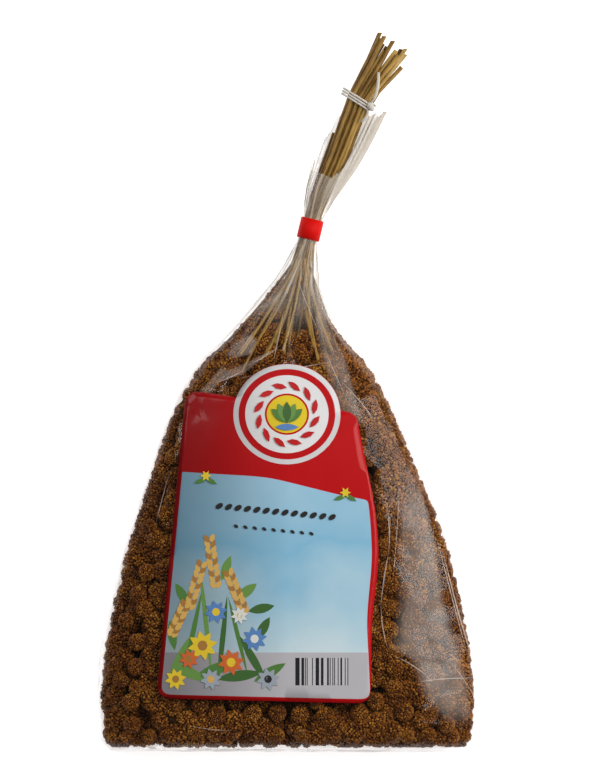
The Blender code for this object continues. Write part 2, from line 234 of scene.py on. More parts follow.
def seed_material():
    surface, shader = new_material("millet_seed", roughness=0.42, specular=0.22)
    shared = math_node(surface, "MULTIPLY", object_noise(surface, 55.0, 2.0), 0.6)
    tone = math_node(surface, "ADD", own_tone(surface, OWN_TONE), shared, clamp=True)
    stops = (
        (0.10, (0.044, 0.010, 0.001)),
        (0.40, (0.15, 0.040, 0.003)),
        (0.70, (0.33, 0.110, 0.008)),
        (1.00, (0.64, 0.30, 0.040)),
    )
    link(surface, ramp(surface, tone, stops), shader.inputs["Base Color"])
    return surface


def chaff_material():
    surface, shader = new_material("cluster_core", roughness=0.9, specular=0.1)
    grain = object_noise(surface, 700.0, 3.0)
    stops = ((0.35, (0.014, 0.005, 0.001)), (0.65, (0.050, 0.018, 0.004)))
    link(surface, ramp(surface, grain, stops), shader.inputs["Base Color"])
    add_bump(surface, shader, grain, 0.6, 0.6 * MM)
    return surface


def straw_material():
    surface, shader = new_material("dry_straw", roughness=0.55, specular=0.4)
    place = add_node(surface, "TexCoord").outputs["Object"]
    turned = add_node(surface, "Mapping", Vector=place, Rotation=(0.0, 0.0, STEMS_TURN)).outputs[0]
    lengthwise = add_node(surface, "Mapping", Vector=turned, Scale=STRAW_GRAIN).outputs[0]
    streaks = add_node(surface, "TexNoise", Vector=lengthwise, Scale=1.0, Detail=3.0).outputs["Fac"]
    tone = math_node(surface, "MULTIPLY", streaks, 0.5)
    patches = math_node(surface, "MULTIPLY", object_noise(surface, 120.0, 1.0), 0.25)
    tone = math_node(surface, "ADD", math_node(surface, "ADD", tone, patches), own_tone(surface, OWN_TONE))
    stops = (
        (0.30, (0.050, 0.022, 0.005)),
        (0.48, (0.17, 0.080, 0.010)),
        (0.68, (0.38, 0.21, 0.034)),
        (0.88, (0.46, 0.30, 0.08)),
        (0.98, (0.40, 0.32, 0.25)),
    )
    link(surface, ramp(surface, tone, stops), shader.inputs["Base Color"])
    add_bump(surface, shader, streaks, 0.5, 0.15 * MM)
    return surface


seed_surface = seed_material()
chaff_surface = chaff_material()
straw_surface = straw_material()

# %% [markdown]
# ## One seed, and clusters of seeds
#
# A millet head is a stack of short side branches, and each ends in a round cluster of seeds about 2 mm
# across. The seed is most of the simplest round body, open where it is sunk in the cluster. A few cluster
# shapes, each with seeds in sunflower order with some disorder, are made once and copied. A small kind,
# with seeds of the same size, is for the narrow places next to the film. A plain kind, with cones for
# seeds, is for places that the label or the heads above hide.

# %% Make one seed, and big and small clusters
SEED_RADIUS = 0.84
SEED_REACH = 1.2
BIG_RADIUS = 6.0
SMALL_RADIUS = 2.8
SEEDS_PER_AREA = 0.40
CLUSTER_SPREAD = math.radians(165)
CLUSTER_KINDS = 6
GOLDEN_ANGLE = math.pi * (3 - math.sqrt(5))
POLAR_DISORDER = 0.05
TURN_DISORDER = 0.12
LEAN_DISORDER = 0.2
SEED_SIZES = (0.88, 1.10)
SEED_HEIGHTS = (-0.35, 0.30)
CORE_SLOT, STRAW_SLOT = 1, 2


def seed_mesh(fine):
    """The part of a seed that stands out of its cluster, one unit in radius."""
    bm = bmesh.new()
    if fine:
        bmesh.ops.create_icosphere(bm, subdivisions=1, radius=1.0)
        lowest = min(bm.verts, key=lambda vertex: vertex.co.z)
        bmesh.ops.delete(bm, geom=[lowest], context="VERTS")
    else:
        bmesh.ops.create_cone(bm, segments=5, radius1=1.05, radius2=0.0, depth=1.1, cap_ends=False)
        bmesh.ops.translate(bm, vec=(0, 0, 0.45), verts=bm.verts)
    bmesh.ops.scale(bm, vec=(0.98, 0.98, 1.05), verts=bm.verts)
    return as_mesh("seed", bm)


def append_copy(bm, mesh, matrix):
    """Adds a copy of a mesh, turned and placed by a matrix. The mesh is moved there, read, and moved back."""
    mesh.transform(matrix)
    bm.from_mesh(mesh)
    mesh.transform(matrix.inverted())


def ball_mesh(radius):
    """The dark ball under a cluster's seeds."""
    bm = bmesh.new()
    bmesh.ops.create_icosphere(bm, subdivisions=2, radius=radius)
    for face in bm.faces:
        face.material_index = CORE_SLOT
    return as_mesh("ball", bm)


def facing(way):
    """The turn that points +Z one way."""
    return way.to_track_quat("Z", "X").to_matrix().to_4x4()


def cluster_mesh(seed, radius, kind):
    """Seeds over most of a dark ball, from +Z down, in millimetres, and each seed's place."""
    draw = random.Random(40 + kind)
    ball = ball_mesh(radius)
    bm = bmesh.new()
    bm.from_mesh(ball)
    places = []
    count = round(SEEDS_PER_AREA * math.tau * radius ** 2 * (1 - math.cos(CLUSTER_SPREAD)))
    for i in range(count):
        share = (i + 0.5) / count
        polar = math.acos(1 - share * (1 - math.cos(CLUSTER_SPREAD)))
        polar += draw.uniform(-POLAR_DISORDER, POLAR_DISORDER)
        turn = i * GOLDEN_ANGLE + draw.uniform(-TURN_DISORDER, TURN_DISORDER)
        out = Vector((math.sin(polar) * math.cos(turn), math.sin(polar) * math.sin(turn), math.cos(polar)))
        size = SEED_RADIUS * draw.uniform(*SEED_SIZES)
        height = radius + draw.uniform(*SEED_HEIGHTS)
        aside = Vector([draw.uniform(-LEAN_DISORDER, LEAN_DISORDER) for _ in range(2)] + [0])
        matrix = Matrix.Translation(out * height) @ facing((out + aside).normalized()) @ Matrix.Scale(size, 4)
        append_copy(bm, seed, matrix)
        places.append(out * height)
    mesh = as_mesh(f"cluster_{kind}", bm)
    return {"mesh": mesh, "ball": ball, "seed": len(seed.vertices), "places": places}


cluster_kinds = {
    (fine, radius): [cluster_mesh(seed_mesh(fine), radius, kind) for kind in range(CLUSTER_KINDS)]
    for fine in (True, False)
    for radius in (BIG_RADIUS, SMALL_RADIUS)
}
for (fine, radius), made in cluster_kinds.items():
    print("fine" if fine else "plain", radius, "mm cluster:", len(made[0]["mesh"].polygons), "faces")


# %% [markdown]
# ## Sprays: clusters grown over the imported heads
#
# Each packed spray already has the true route, thickness and lobes. Its copy becomes the head's core, drawn
# in a little, and clusters are thrown on it like darts: a dart that lands too near an earlier one is thrown
# away, which gives the even but unordered cover of a real head. A probe straight through the body tells the
# thin stem from the thick head. Darts that face a neighbouring head closely are left out, since nothing is
# seen there. Each cluster is moved until it is clear of the film on all sides.

# %% Throw clusters on each spray
CLUSTER_GAP = 8.5
THROWS = 14
CLUSTER_SIZES = (0.84, 1.10)
STEM_CLUSTERS = (50.0, 150.0)
STEM_CLUSTER_SIZE = 0.85
STEM_THICKNESS = 3.6
ENDLESS = 99.0
PROBE_INSIDE = 0.2
PROBE_AHEAD = 0.4
BURIED_WITHIN = 1.2
SEEDS_BELOW = 157.0
PUSH_OUT = 2.6
FILM_MARGIN = 1.3
FILM_CLEAR = 0.6
WALL_PUSHES = 3
PLAIN_BELOW = 3.0
PLAIN_FACING = -0.25
FAN_OF_STEMS = ((-9.0, 19.0), 134.0)
CORE_INSET = 3.6
BURIED_INSET = 0.3
CLUSTER_SINK = 0.5
LOOSE_BELOW = 166.0

sprays = sorted(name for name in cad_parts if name.startswith("spray_"))


def combined_tree(nodes):
    """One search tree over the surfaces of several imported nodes."""
    points = []
    faces = []
    for node in nodes:
        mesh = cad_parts[node].data
        start = len(points)
        points += [vertex.co.copy() for vertex in mesh.vertices]
        faces += [tuple(start + i for i in polygon.vertices) for polygon in mesh.polygons]
    return BVHTree.FromPolygons(points, faces)


all_heads = combined_tree(sprays)
bag_tree = combined_tree(["bag_film"])
label_tree = combined_tree(["label"])


def bag_heights(x, y):
    """The bag's lower and upper heights at a place, in millimetres, or nothing outside the bag."""
    top = bag_tree.ray_cast(Vector((x * MM, y * MM, 0.2)), -UP)[0]
    bottom = bag_tree.ray_cast(Vector((x * MM, y * MM, -0.1)), UP)[0]
    if top is None or y > LOOSE_BELOW:
        return None
    return bottom.z / MM, top.z / MM


# %% [markdown]
# Three probes tell what is round a place on a head: how thick the body is there, whether a neighbouring head
# covers it, and how far a cluster may stand out before it meets the film.


# %% Probe a head and what lies ahead of it
def thickness(tree, point, normal):
    """How thick the body is straight below a point of its surface, in millimetres."""
    hit = tree.ray_cast(point - normal * PROBE_INSIDE * MM, -normal)
    return ENDLESS if hit[0] is None else (hit[3] + PROBE_INSIDE * MM) / MM


def clear_ahead(point, normal):
    hit = all_heads.ray_cast(point + normal * PROBE_AHEAD * MM, normal)
    return hit[0] is None or hit[3] > BURIED_WITHIN * MM


def room_ahead(point, normal):
    """How far a cluster may move out before it meets the film, in millimetres."""
    room = PUSH_OUT
    for tree, margin in ((bag_tree, FILM_MARGIN), (all_heads, 0.0)):
        hit = tree.ray_cast(point + normal * PROBE_AHEAD * MM, normal)
        if hit[0] is not None:
            room = min(room, hit[3] / MM + PROBE_AHEAD - margin)
    return max(room, 0.0)


# %% [markdown]
# Where a dart sticks, a cluster grows, moved off the film. The core is drawn in under the clusters, and its
# thin part stays a bare straw stem.


# %% Throw darts, and plan every spray
def throw_darts(bm, tree, draw, gap):
    """Places on the thick part of a body, no two nearer than a gap, each with its normal."""
    faces = list(bm.faces)
    areas = [face.calc_area() for face in faces]
    throws = int(sum(areas) / (gap * MM) ** 2 * THROWS)
    cells = {}
    found = []
    for face in draw.choices(faces, weights=areas, k=throws):
        a, b, c = (vertex.co for vertex in face.verts)
        u = math.sqrt(draw.random())
        v = draw.random()
        point = a * (1 - u) + b * (u * (1 - v)) + c * (u * v)
        cell = tuple(math.floor(value / (gap * MM)) for value in point)
        near = [
            other
            for dx in (-1, 0, 1)
            for dy in (-1, 0, 1)
            for dz in (-1, 0, 1)
            for other in cells.get((cell[0] + dx, cell[1] + dy, cell[2] + dz), ())
        ]
        if any((other - point).length < gap * MM for other in near):
            continue
        in_fan = point.y > FAN_OF_STEMS[1] * MM and FAN_OF_STEMS[0][0] < point.x / MM < FAN_OF_STEMS[0][1]
        if point.y > SEEDS_BELOW * MM or in_fan:
            continue
        size = 1.0
        if thickness(tree, point, face.normal) < STEM_THICKNESS:
            size = STEM_CLUSTER_SIZE
            if abs(face.normal.z) < 0.5 or not STEM_CLUSTERS[0] < point.y / MM < STEM_CLUSTERS[1]:
                continue
        cells.setdefault(cell, []).append(point)
        if clear_ahead(point, face.normal):
            out = point + face.normal * room_ahead(point, face.normal) * size * MM
            found.append((out, face.normal.copy(), size))
    return found


def keep_inside(middle, need):
    """The place moved so that it's at least a need, in millimetres, off the film."""
    heights = bag_heights(middle.x / MM, middle.y / MM)
    if heights is not None:
        centre = sum(heights) / 2
        spare = max((heights[1] - heights[0]) / 2 - need, 0.0)
        height = min(max(middle.z / MM, centre - spare), centre + spare)
        middle = Vector((middle.x, middle.y, height * MM))
    for _ in range(WALL_PUSHES):
        wall, _, _, away = bag_tree.find_nearest(middle)
        short = need * MM - away
        if short > 0:
            middle = middle + (middle - wall).normalized() * short
    return middle


def plan_cluster(draw, middle, normal, radius, size):
    """A cluster off the film; plain where the label or the heads above hide it."""
    middle = keep_inside(middle, (radius + SEED_REACH) * size + FILM_CLEAR)
    spin = Matrix.Rotation(draw.uniform(0, math.tau), 4, "Z")
    under_label = label_tree.ray_cast(middle, UP)[0] is not None
    heights = bag_heights(middle.x / MM, middle.y / MM)
    low_down = heights is not None and middle.z / MM < sum(heights) / 2 - PLAIN_BELOW
    fine = not under_label and not low_down and normal.z > PLAIN_FACING
    return {
        "kind": draw.choice(cluster_kinds[fine, radius]),
        "middle": middle,
        "radius": radius * size * MM,
        "matrix": Matrix.Translation(middle) @ facing(normal) @ spin @ Matrix.Scale(size * MM, 4),
    }


def plan_dart(draw, point, normal, size):
    """A big cluster whose outermost seeds reach a point."""
    size *= draw.uniform(*CLUSTER_SIZES)
    middle = point - normal * (BIG_RADIUS * size + CLUSTER_SINK) * MM
    return plan_cluster(draw, middle, normal, BIG_RADIUS, size)


def plan_spray(node):
    """The core of one spray, as a mesh, and its clusters."""
    draw = random.Random(node)
    core = merged_copy(node)
    bmesh.ops.triangulate(core, faces=core.faces)
    core.normal_update()
    tree = BVHTree.FromBMesh(core)
    planned = [plan_dart(draw, *dart) for dart in throw_darts(core, tree, draw, CLUSTER_GAP)]
    thick = {vertex: thickness(tree, vertex.co, vertex.normal) for vertex in core.verts}
    heads = {vertex for vertex in core.verts if vertex.co.y < SEEDS_BELOW * MM}
    for face in core.faces:
        widest = max(thick[vertex] if vertex in heads else 0.0 for vertex in face.verts)
        face.material_index = CORE_SLOT if widest > STEM_THICKNESS else STRAW_SLOT
    moves = {}
    for vertex in heads:
        if thick[vertex] > 2 * STEM_THICKNESS:
            inset = CORE_INSET if clear_ahead(vertex.co, vertex.normal) else CORE_INSET * BURIED_INSET
            moves[vertex] = vertex.co - vertex.normal * inset * MM
    for vertex, point in moves.items():
        vertex.co = point
    return as_mesh(node + "_core", core), planned


plans = {node: plan_spray(node) for node in sprays}
print("clusters on the sprays:", sum(len(planned) for _, planned in plans.values()))

# %% [markdown]
# Bits break off the heads and fill the rest of the bag. Wherever a line straight up or down from a place in
# the bag would meet no head, a loose cluster lies there, off the film, in as many layers as there's room for.

# %% Plan loose clusters for the open places
BAG_CORNER = (-116, -112)
BAG_SIZE = (230, 280)
LOOSE_STEP = 7.0
LOOSE_DEPTH = 7.0
LOOSE_FLAT = 2.6
LOOSE_LAYER = 8.0
LOOSE_PARTS = {"loose_low": (-150, -75), "loose_middle": (-75, 30), "loose_high": (30, 200)}
LOOSE_GAP = 8.5
LOOSE_ROOM = 3.6
LOOSE_LEAN = 0.4
HEAD_AWAY = 2.2
SMALLEST_BIG = 0.62
SMALLEST_SMALL = 0.55


def leaning(draw, lean, height):
    """A way up or down that leans a little to a random side."""
    return Vector((draw.uniform(-lean, lean), draw.uniform(-lean, lean), height)).normalized()


def loose_heights(x, y):
    heights = bag_heights(x, y)
    if heights is None:
        return []
    low, high = heights
    if high - low < LOOSE_FLAT * LOOSE_DEPTH:
        return [(low + high) / 2]
    spare = high - low - 2 * LOOSE_DEPTH
    layers = max(2, round(spare / LOOSE_LAYER) + 1)
    return [low + LOOSE_DEPTH + spare * i / (layers - 1) for i in range(layers)]


def best_size(near_film):
    """The kind's radius, and the size, that fill the room between a place and the film."""
    size = (near_film - FILM_CLEAR) / (BIG_RADIUS + SEED_REACH)
    if size >= SMALLEST_BIG:
        return BIG_RADIUS, min(size, 1.0)
    return SMALL_RADIUS, min((near_film - FILM_CLEAR) / (SMALL_RADIUS + SEED_REACH), 1.0)


def plan_loose():
    draw = random.Random(5)
    places = []
    planned = []
    for row in range(int(BAG_SIZE[1] / LOOSE_STEP)):
        for column in range(int(BAG_SIZE[0] / LOOSE_STEP)):
            x = BAG_CORNER[0] + (column + 0.5 * (row % 2)) * LOOSE_STEP + draw.uniform(-1, 1)
            y = BAG_CORNER[1] + row * LOOSE_STEP + draw.uniform(-1, 1)
            for height in loose_heights(x, y):
                point = Vector((x, y, height)) * MM
                near_film = bag_tree.find_nearest(point)[3] / MM
                if near_film < LOOSE_ROOM or any((point - other).length < LOOSE_GAP * MM for other in places):
                    continue
                open_ways = [side for side in (1, -1) if all_heads.ray_cast(point, UP * side)[0] is None]
                head_point, head_normal, _, away = all_heads.find_nearest(point)
                if not open_ways or (point - head_point).dot(head_normal) < 0:
                    continue
                if away < HEAD_AWAY * MM and thickness(all_heads, head_point, head_normal) > STEM_THICKNESS:
                    continue
                places.append(point)
                way = leaning(draw, LOOSE_LEAN, open_ways[0])
                planned.append(plan_cluster(draw, point, way, *best_size(near_film)))
    return planned


loose = plan_loose()
for name, (low, high) in LOOSE_PARTS.items():
    plans[name] = (None, [cluster for cluster in loose if low <= cluster["middle"].y / MM < high])
print("loose clusters:", len(loose))

# %% [markdown]
# The real bag is packed so full that light passes nowhere. A line dropped at each place of a fine grid finds
# what is still open, and plugs of loose seeds go there, the roomiest places first.

# %% Plug what is still open
PLUG_STEP = 2.0
PLUG_COVER = 0.8
PLUG_CORNER = (-116, -114)
PLUG_AREA = (232, 282)
PLUG_LEAN = 0.3


def blocker_tree():
    """A search tree over every planned cluster's ball and every core."""
    bm = bmesh.new()
    for core_mesh, planned in plans.values():
        if core_mesh is not None:
            bm.from_mesh(core_mesh)
        for cluster in planned:
            append_copy(bm, cluster["kind"]["ball"], cluster["matrix"])
    tree = BVHTree.FromBMesh(bm)
    bm.free()
    return tree


def open_places():
    """Places where a line straight down meets nothing, with the room they have, roomiest first."""
    blockers = blocker_tree()
    found = []
    for row in range(int(PLUG_AREA[1] / PLUG_STEP)):
        for column in range(int(PLUG_AREA[0] / PLUG_STEP)):
            x, y = PLUG_CORNER[0] + column * PLUG_STEP, PLUG_CORNER[1] + row * PLUG_STEP
            heights = bag_heights(x, y)
            if heights is None or blockers.ray_cast(Vector((x * MM, y * MM, 0.2)), -UP)[0] is not None:
                continue
            point = Vector((x, y, sum(heights) / 2)) * MM
            near_film = bag_tree.find_nearest(point)[3] / MM
            if near_film > FILM_CLEAR + SMALLEST_SMALL * (SMALL_RADIUS + SEED_REACH):
                found.append((near_film, point))
    return sorted(found, key=lambda place: -place[0])


def plan_plugs():
    draw = random.Random(8)
    planned = []
    for near_film, point in open_places():
        across = [((other["middle"] - point).xy.length, other["radius"]) for other in planned]
        if any(away < reach * PLUG_COVER for away, reach in across):
            continue
        way = leaning(draw, PLUG_LEAN, 1)
        planned.append(plan_cluster(draw, point, way, *best_size(near_film)))
    return planned


plans["plugs"] = (None, plan_plugs())
print("plugs:", len(plans["plugs"][1]))

# %% [markdown]
# Clusters press into each other, so most of their seeds are out of sight inside a neighbour or deep between
# the heads. A seed stays only if it lies in no other ball and sees a way out of the bag along one of
# fourteen even ways. The same goes for the faces of the dark balls. What is left is joined into one piece
# for each spray.

# %% Grow the planned clusters
BURIED_SEED = 0.25
SEED_TEST = (1.0, 0.15)
BALL_TEST = (0.90, -0.25)
REACH_OF_TWO = 2.3
LOOK_FROM = 0.5
WAYS = [
    Vector((x, y, z)).normalized()
    for x in (-1, 0, 1)
    for y in (-1, 0, 1)
    for z in (-1, 0, 1)
    if abs(x) + abs(y) + abs(z) in (1, 3)
]
every_cluster = [cluster for _, planned in plans.values() for cluster in planned]
middles = KDTree(len(every_cluster))
for number, cluster in enumerate(every_cluster):
    middles.insert(cluster["middle"], number)
middles.balance()
blockers = blocker_tree()


def neighbours(cluster):
    around = middles.find_range(cluster["middle"], REACH_OF_TWO * BIG_RADIUS * MM)
    found = [every_cluster[number] for _, number, _ in around]
    return [(other["middle"], other["radius"] - BURIED_SEED * MM) for other in found if other is not cluster]


def seen(point, out, others, slack, steepest):
    """Whether a place on a cluster is in no other ball and sees out of the bag."""
    if any((point - middle).length < reach * slack for middle, reach in others):
        return False
    start = point + out * LOOK_FROM * MM
    return any(way.dot(out) > steepest and blockers.ray_cast(start, way)[0] is None for way in WAYS)


def append_cluster(head, cluster):
    kind = cluster["kind"]
    matrix = cluster["matrix"]
    others = neighbours(cluster)

    def shown(place, slack, steepest):
        point = matrix @ place
        return seen(point, (point - cluster["middle"]).normalized(), others, slack, steepest)

    bm = bmesh.new()
    bm.from_mesh(kind["mesh"])
    bm.verts.ensure_lookup_table()
    ball_count = len(kind["ball"].vertices)
    shown_ball = {vertex for vertex in bm.verts[:ball_count] if shown(vertex.co, *BALL_TEST)}
    ball_faces = {face for vertex in bm.verts[:ball_count] for face in vertex.link_faces}
    hidden_faces = [
        face
        for face in ball_faces
        if shown_ball.isdisjoint(face.verts) and not shown(face.calc_center_median(), *BALL_TEST)
    ]
    dropped = []
    for i, place in enumerate(kind["places"]):
        if not shown(place, *SEED_TEST):
            first = ball_count + i * kind["seed"]
            dropped += bm.verts[first:first + kind["seed"]]
    bmesh.ops.delete(bm, geom=dropped, context="VERTS")
    bmesh.ops.delete(bm, geom=hidden_faces, context="FACES")
    bm.transform(matrix)
    mesh = as_mesh("one_cluster", bm)
    head.from_mesh(mesh)
    bpy.data.meshes.remove(mesh)


faces = {}
for node, (core_mesh, planned) in plans.items():
    head = bmesh.new()
    for cluster in planned:
        append_cluster(head, cluster)
    if core_mesh is not None:
        head.from_mesh(core_mesh)
    piece = add_piece(node + "_grown", head, [seed_surface, chaff_surface, straw_surface])
    faces[node] = len(piece.data.polygons)
    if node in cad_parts:
        stand_for(piece, node)
    else:
        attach(piece, "root")
print("seed pieces have", sum(faces.values()), "faces:", faces)

# %% [markdown]
# Dry leaf ribs and thin side stems fan out from the neck over the heads. Each is a small grid rolled into a
# tube along its own path, close under the film.

# %% Straws that fan out from the neck
STRAW_COUNT = 13
STRAW_AROUND = 7
STRAW_ALONG = 22
STRAW_RADII = (0.55, 1.0)
NECK_END = ((7.5, 3.2), 181)
FAN_END = ((1, 30), (131, -8))


def straw_path(draw, k):
    """Points from the neck down over the heads, in metres, close under the film."""
    spread = (k - (STRAW_COUNT - 1) / 2) / ((STRAW_COUNT - 1) / 2)
    start = Vector((NECK_END[0][0] + NECK_END[0][1] * spread, NECK_END[1]))
    x, y = FAN_END[0][0] + FAN_END[0][1] * spread, FAN_END[1][0] + FAN_END[1][1] * abs(spread)
    end = Vector((x + draw.uniform(-2, 2), y + draw.uniform(-9, 7)))
    bow = draw.uniform(-1.5, 1.5)
    path = []
    for step in range(STRAW_ALONG + 1):
        t = step / STRAW_ALONG
        place = start.lerp(end, t)
        place.x = start.x + (end.x - start.x) * t ** 1.25 + bow * math.sin(math.pi * t)
        path.append(Vector((place.x * MM, place.y * MM, height_at(bag_tree, *place) - (1.9 + 1.0 * t) * MM)))
    return path


def straws():
    bm = bmesh.new()
    for k in range(STRAW_COUNT):
        draw = random.Random(60 + k)
        path = straw_path(draw, k)
        radius = draw.uniform(*STRAW_RADII) * MM
        tube = bmesh.new()
        bmesh.ops.create_grid(tube, x_segments=STRAW_AROUND, y_segments=STRAW_ALONG, size=1.0)
        for vertex in tube.verts:
            turn = math.pi * vertex.co.x
            step = round((vertex.co.y + 1) / 2 * STRAW_ALONG)
            along = (path[min(step + 1, STRAW_ALONG)] - path[max(step - 1, 0)]).normalized()
            side = along.cross(UP).normalized()
            vertex.co = path[step] + (side * math.cos(turn) + side.cross(along) * math.sin(turn)) * radius
        bmesh.ops.remove_doubles(tube, verts=tube.verts, dist=SAME_PLACE)
        bmesh.ops.recalc_face_normals(tube, faces=tube.faces)
        bm.from_mesh(as_mesh("one_straw", tube))
    return bm


fan = add_piece("fan_straws", straws(), [straw_surface])
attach(fan, "root")
print("the straws have", len(fan.data.polygons), "faces")

# %% [markdown]
# ## The film bag
#
# The bag is one thin clear sheet, closed below and open at the mouth past the tape. A ball's grid is laid on
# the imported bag's outer wall: each ring is cast onto the wall and spread evenly round it. Then the sheet
# gets what thin film has: pleats that gather into the neck, sharp crinkles, and a flared mouth that is torn
# shorter in front. Below the tape all of this moves outwards only, so the film stays clear of the seeds.

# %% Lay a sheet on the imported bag's outer wall
BAG_END = -114.3
MOUTH = 262.0
FILM_ROWS = 205
FILM_AROUND = 150
TORN_AWAY = 36.0
MIDDLE_X = (
    (-114, -1.5), (24, -1.5), (80, -4.2), (125, -3.4), (158, 2.0), (178, 7.2), (192, 10.6), (206, 13.9),
    (221, 18.4), (244, 28.6), (276, 40.5),
)
TILT_DEG = ((135, 0), (178, 12), (192, 13.5), (206, 13.5), (221, 20), (244, 27), (276, 32))
TAPE_AT = 199
STRETCHES = {"body": (90, 60), "neck": (130, 44), "flap": (205, 25), "flare": (214, 40), "edge": (240, 22)}
LABEL_CRINKLE = 0.15
FLOOR_GAP = 0.2
RING_SAMPLES = 160
PLEAT_COUNT = 22


def lookup(keys, at):
    """The value of a table of (place, value) keys at a place, straight between keys."""
    if at <= keys[0][0]:
        return keys[0][1]
    for (a, low), (b, high) in zip(keys, keys[1:]):
        if at <= b:
            return low + (high - low) * (at - a) / (b - a)
    return keys[-1][1]


def ease(value):
    value = min(max(value, 0.0), 1.0)
    return value * value * (3 - 2 * value)


def past(stretch, station):
    """0 before a stretch of the bag, 1 beyond it, and eased between."""
    start, length = STRETCHES[stretch]
    return ease((station - start) / length)


def wall_ring(station, count):
    """Points round the outer wall at a station, evenly spaced, from the left side over the front."""
    tilt = math.radians(lookup(TILT_DEG, station))
    across = Vector((math.cos(tilt), -math.sin(tilt), 0))
    middle = Vector((lookup(MIDDLE_X, station), station, 0)) * MM
    top = bag_tree.ray_cast(middle + Vector((0, 0, 0.2)), -UP)[0].z
    bottom = bag_tree.ray_cast(middle + Vector((0, 0, -0.1)), UP)[0].z
    middle.z = (top + bottom) / 2
    sides = [bag_tree.ray_cast(middle + across * sign * 0.2, -across * sign)[0] for sign in (-1, 1)]
    middle = (sides[0] + sides[1]) / 2
    half_width = (sides[1] - sides[0]).length / 2
    half_depth = (top - bottom) / 2
    rough = []
    for i in range(RING_SAMPLES):
        turn = math.pi - math.tau * i / RING_SAMPLES
        way = across * half_width * math.cos(turn) + Vector((0, 0, half_depth * math.sin(turn)))
        hit = bag_tree.ray_cast(middle + way * 3, -way)
        rough.append(hit[0] if hit[0] is not None else middle + way)
    lengths = [(rough[(i + 1) % RING_SAMPLES] - rough[i]).length for i in range(RING_SAMPLES)]
    step = sum(lengths) / count
    ring = []
    i = 0
    passed = 0.0
    for k in range(count):
        while passed + lengths[i] < step * k and i < RING_SAMPLES - 1:
            passed += lengths[i]
            i += 1
        share = (step * k - passed) / lengths[i]
        ring.append(rough[i].lerp(rough[(i + 1) % RING_SAMPLES], share))
    return ring


# %% [markdown]
# Pleats are straight folds that start at different places and gather towards the tape. Crinkles are the
# ridges between the cells of a bent pattern, as in film that was crumpled and pulled flat again. The noise
# has a seed, because its vectors start from another place each run otherwise.

# %% Pleats, crinkles and the torn mouth
NOISE_SEED = 7
noise.seed_set(NOISE_SEED)


def pleat_table():
    """Pleats round the neck: place round the bag, half width, station where it starts, and height."""
    draw = random.Random(7)
    pleats = []
    for i in range(PLEAT_COUNT):
        around = (i + draw.uniform(-0.3, 0.3)) / PLEAT_COUNT
        pleats.append((around, draw.uniform(0.012, 0.026), draw.uniform(58, 152), draw.uniform(0.9, 2.3)))
    return pleats


PLEATS = pleat_table()


def pleat_height(around, station):
    height = 0.0
    for place, half_width, start, tall in PLEATS:
        away = abs((around - place + 0.5) % 1.0 - 0.5) / half_width
        if away < 1:
            height += (1 - away) * tall * ease((station - start) / 45)
    return height * (0.3 + 0.7 * abs(math.sin(math.tau * around)))


def crinkle_height(point, scale, seed_shift):
    """Sharp ridges between flat facets, as crumpled film has them."""
    place = point / (scale * MM) + Vector((seed_shift, 0, 0))
    place += noise.noise_vector(place * 0.7) * 0.5
    distances = noise.voronoi(place)[0]
    return 1.0 - min((distances[1] - distances[0]) * 2.2, 1.0)


def ripple(scale, around, row):
    """Slow noise round the bag; each row is another pattern."""
    return noise.noise(Vector((around * scale, row, 0)))


def torn_away(station, around):
    """The mouth is torn shorter in front and on the left, where the stems lie bare."""
    front_left = ease(0.5 + 0.75 * math.cos(math.tau * (around - 0.16)))
    ragged = 2.5 * ripple(14, around, 7.0) + 1.5 * ripple(40, around, 2.0)
    return station > MOUTH + 4 - TORN_AWAY * front_left + ragged


# %% [markdown]
# The sheet is laid on the wall and pushed out by its pleats and crinkles. Its haze is a number for each
# vertex, which the material mixes a milky veil with; elsewhere the film is clear and only shines at the rim.
# The veil is partly the film's own haze and partly painted light: painted glare in the streaks along the
# neck, and painted shade on the flap right of the mouth.


# %% Shape the film
def lay_on_wall(bm):
    """Moves a ball's grid onto the bag's wall. Gives each vertex's station and share of the way round."""
    mouth_pole = max(bm.verts, key=lambda vertex: vertex.co.z)
    end_pole = min(bm.verts, key=lambda vertex: vertex.co.z)
    bmesh.ops.delete(bm, geom=[mouth_pole], context="VERTS")
    rings = {}
    for row in range(1, FILM_ROWS):
        share = row / (FILM_ROWS - 1)
        station = BAG_END + (MOUTH - BAG_END) * share
        if station < BAG_END + 8:
            station = BAG_END + 8 * ((station - BAG_END) / 8) ** 1.6
        rings[row] = (station, wall_ring(station, FILM_AROUND))
    places = {}
    for vertex in bm.verts:
        if vertex == end_pole:
            continue
        polar = math.acos(max(-1.0, min(1.0, vertex.co.z)))
        row = FILM_ROWS - round(polar / math.pi * FILM_ROWS)
        turn = math.atan2(vertex.co.y, vertex.co.x)
        column = round((math.pi - turn) / math.tau * FILM_AROUND) % FILM_AROUND
        station, ring = rings[row]
        places[vertex] = (station, column / FILM_AROUND)
        vertex.co = ring[column]
    end_ring = rings[1][1]
    end_pole.co = sum(end_ring, Vector()) / len(end_ring)
    places[end_pole] = (BAG_END, 0.5)
    bm.normal_update()
    inwards = 0.0
    for face in bm.faces:
        middle = face.calc_center_median()
        inwards -= face.normal.dot(middle - Vector((0, middle.y, 0.025)))
    if inwards > 0:
        bmesh.ops.reverse_faces(bm, faces=bm.faces)
        bm.normal_update()
    return places


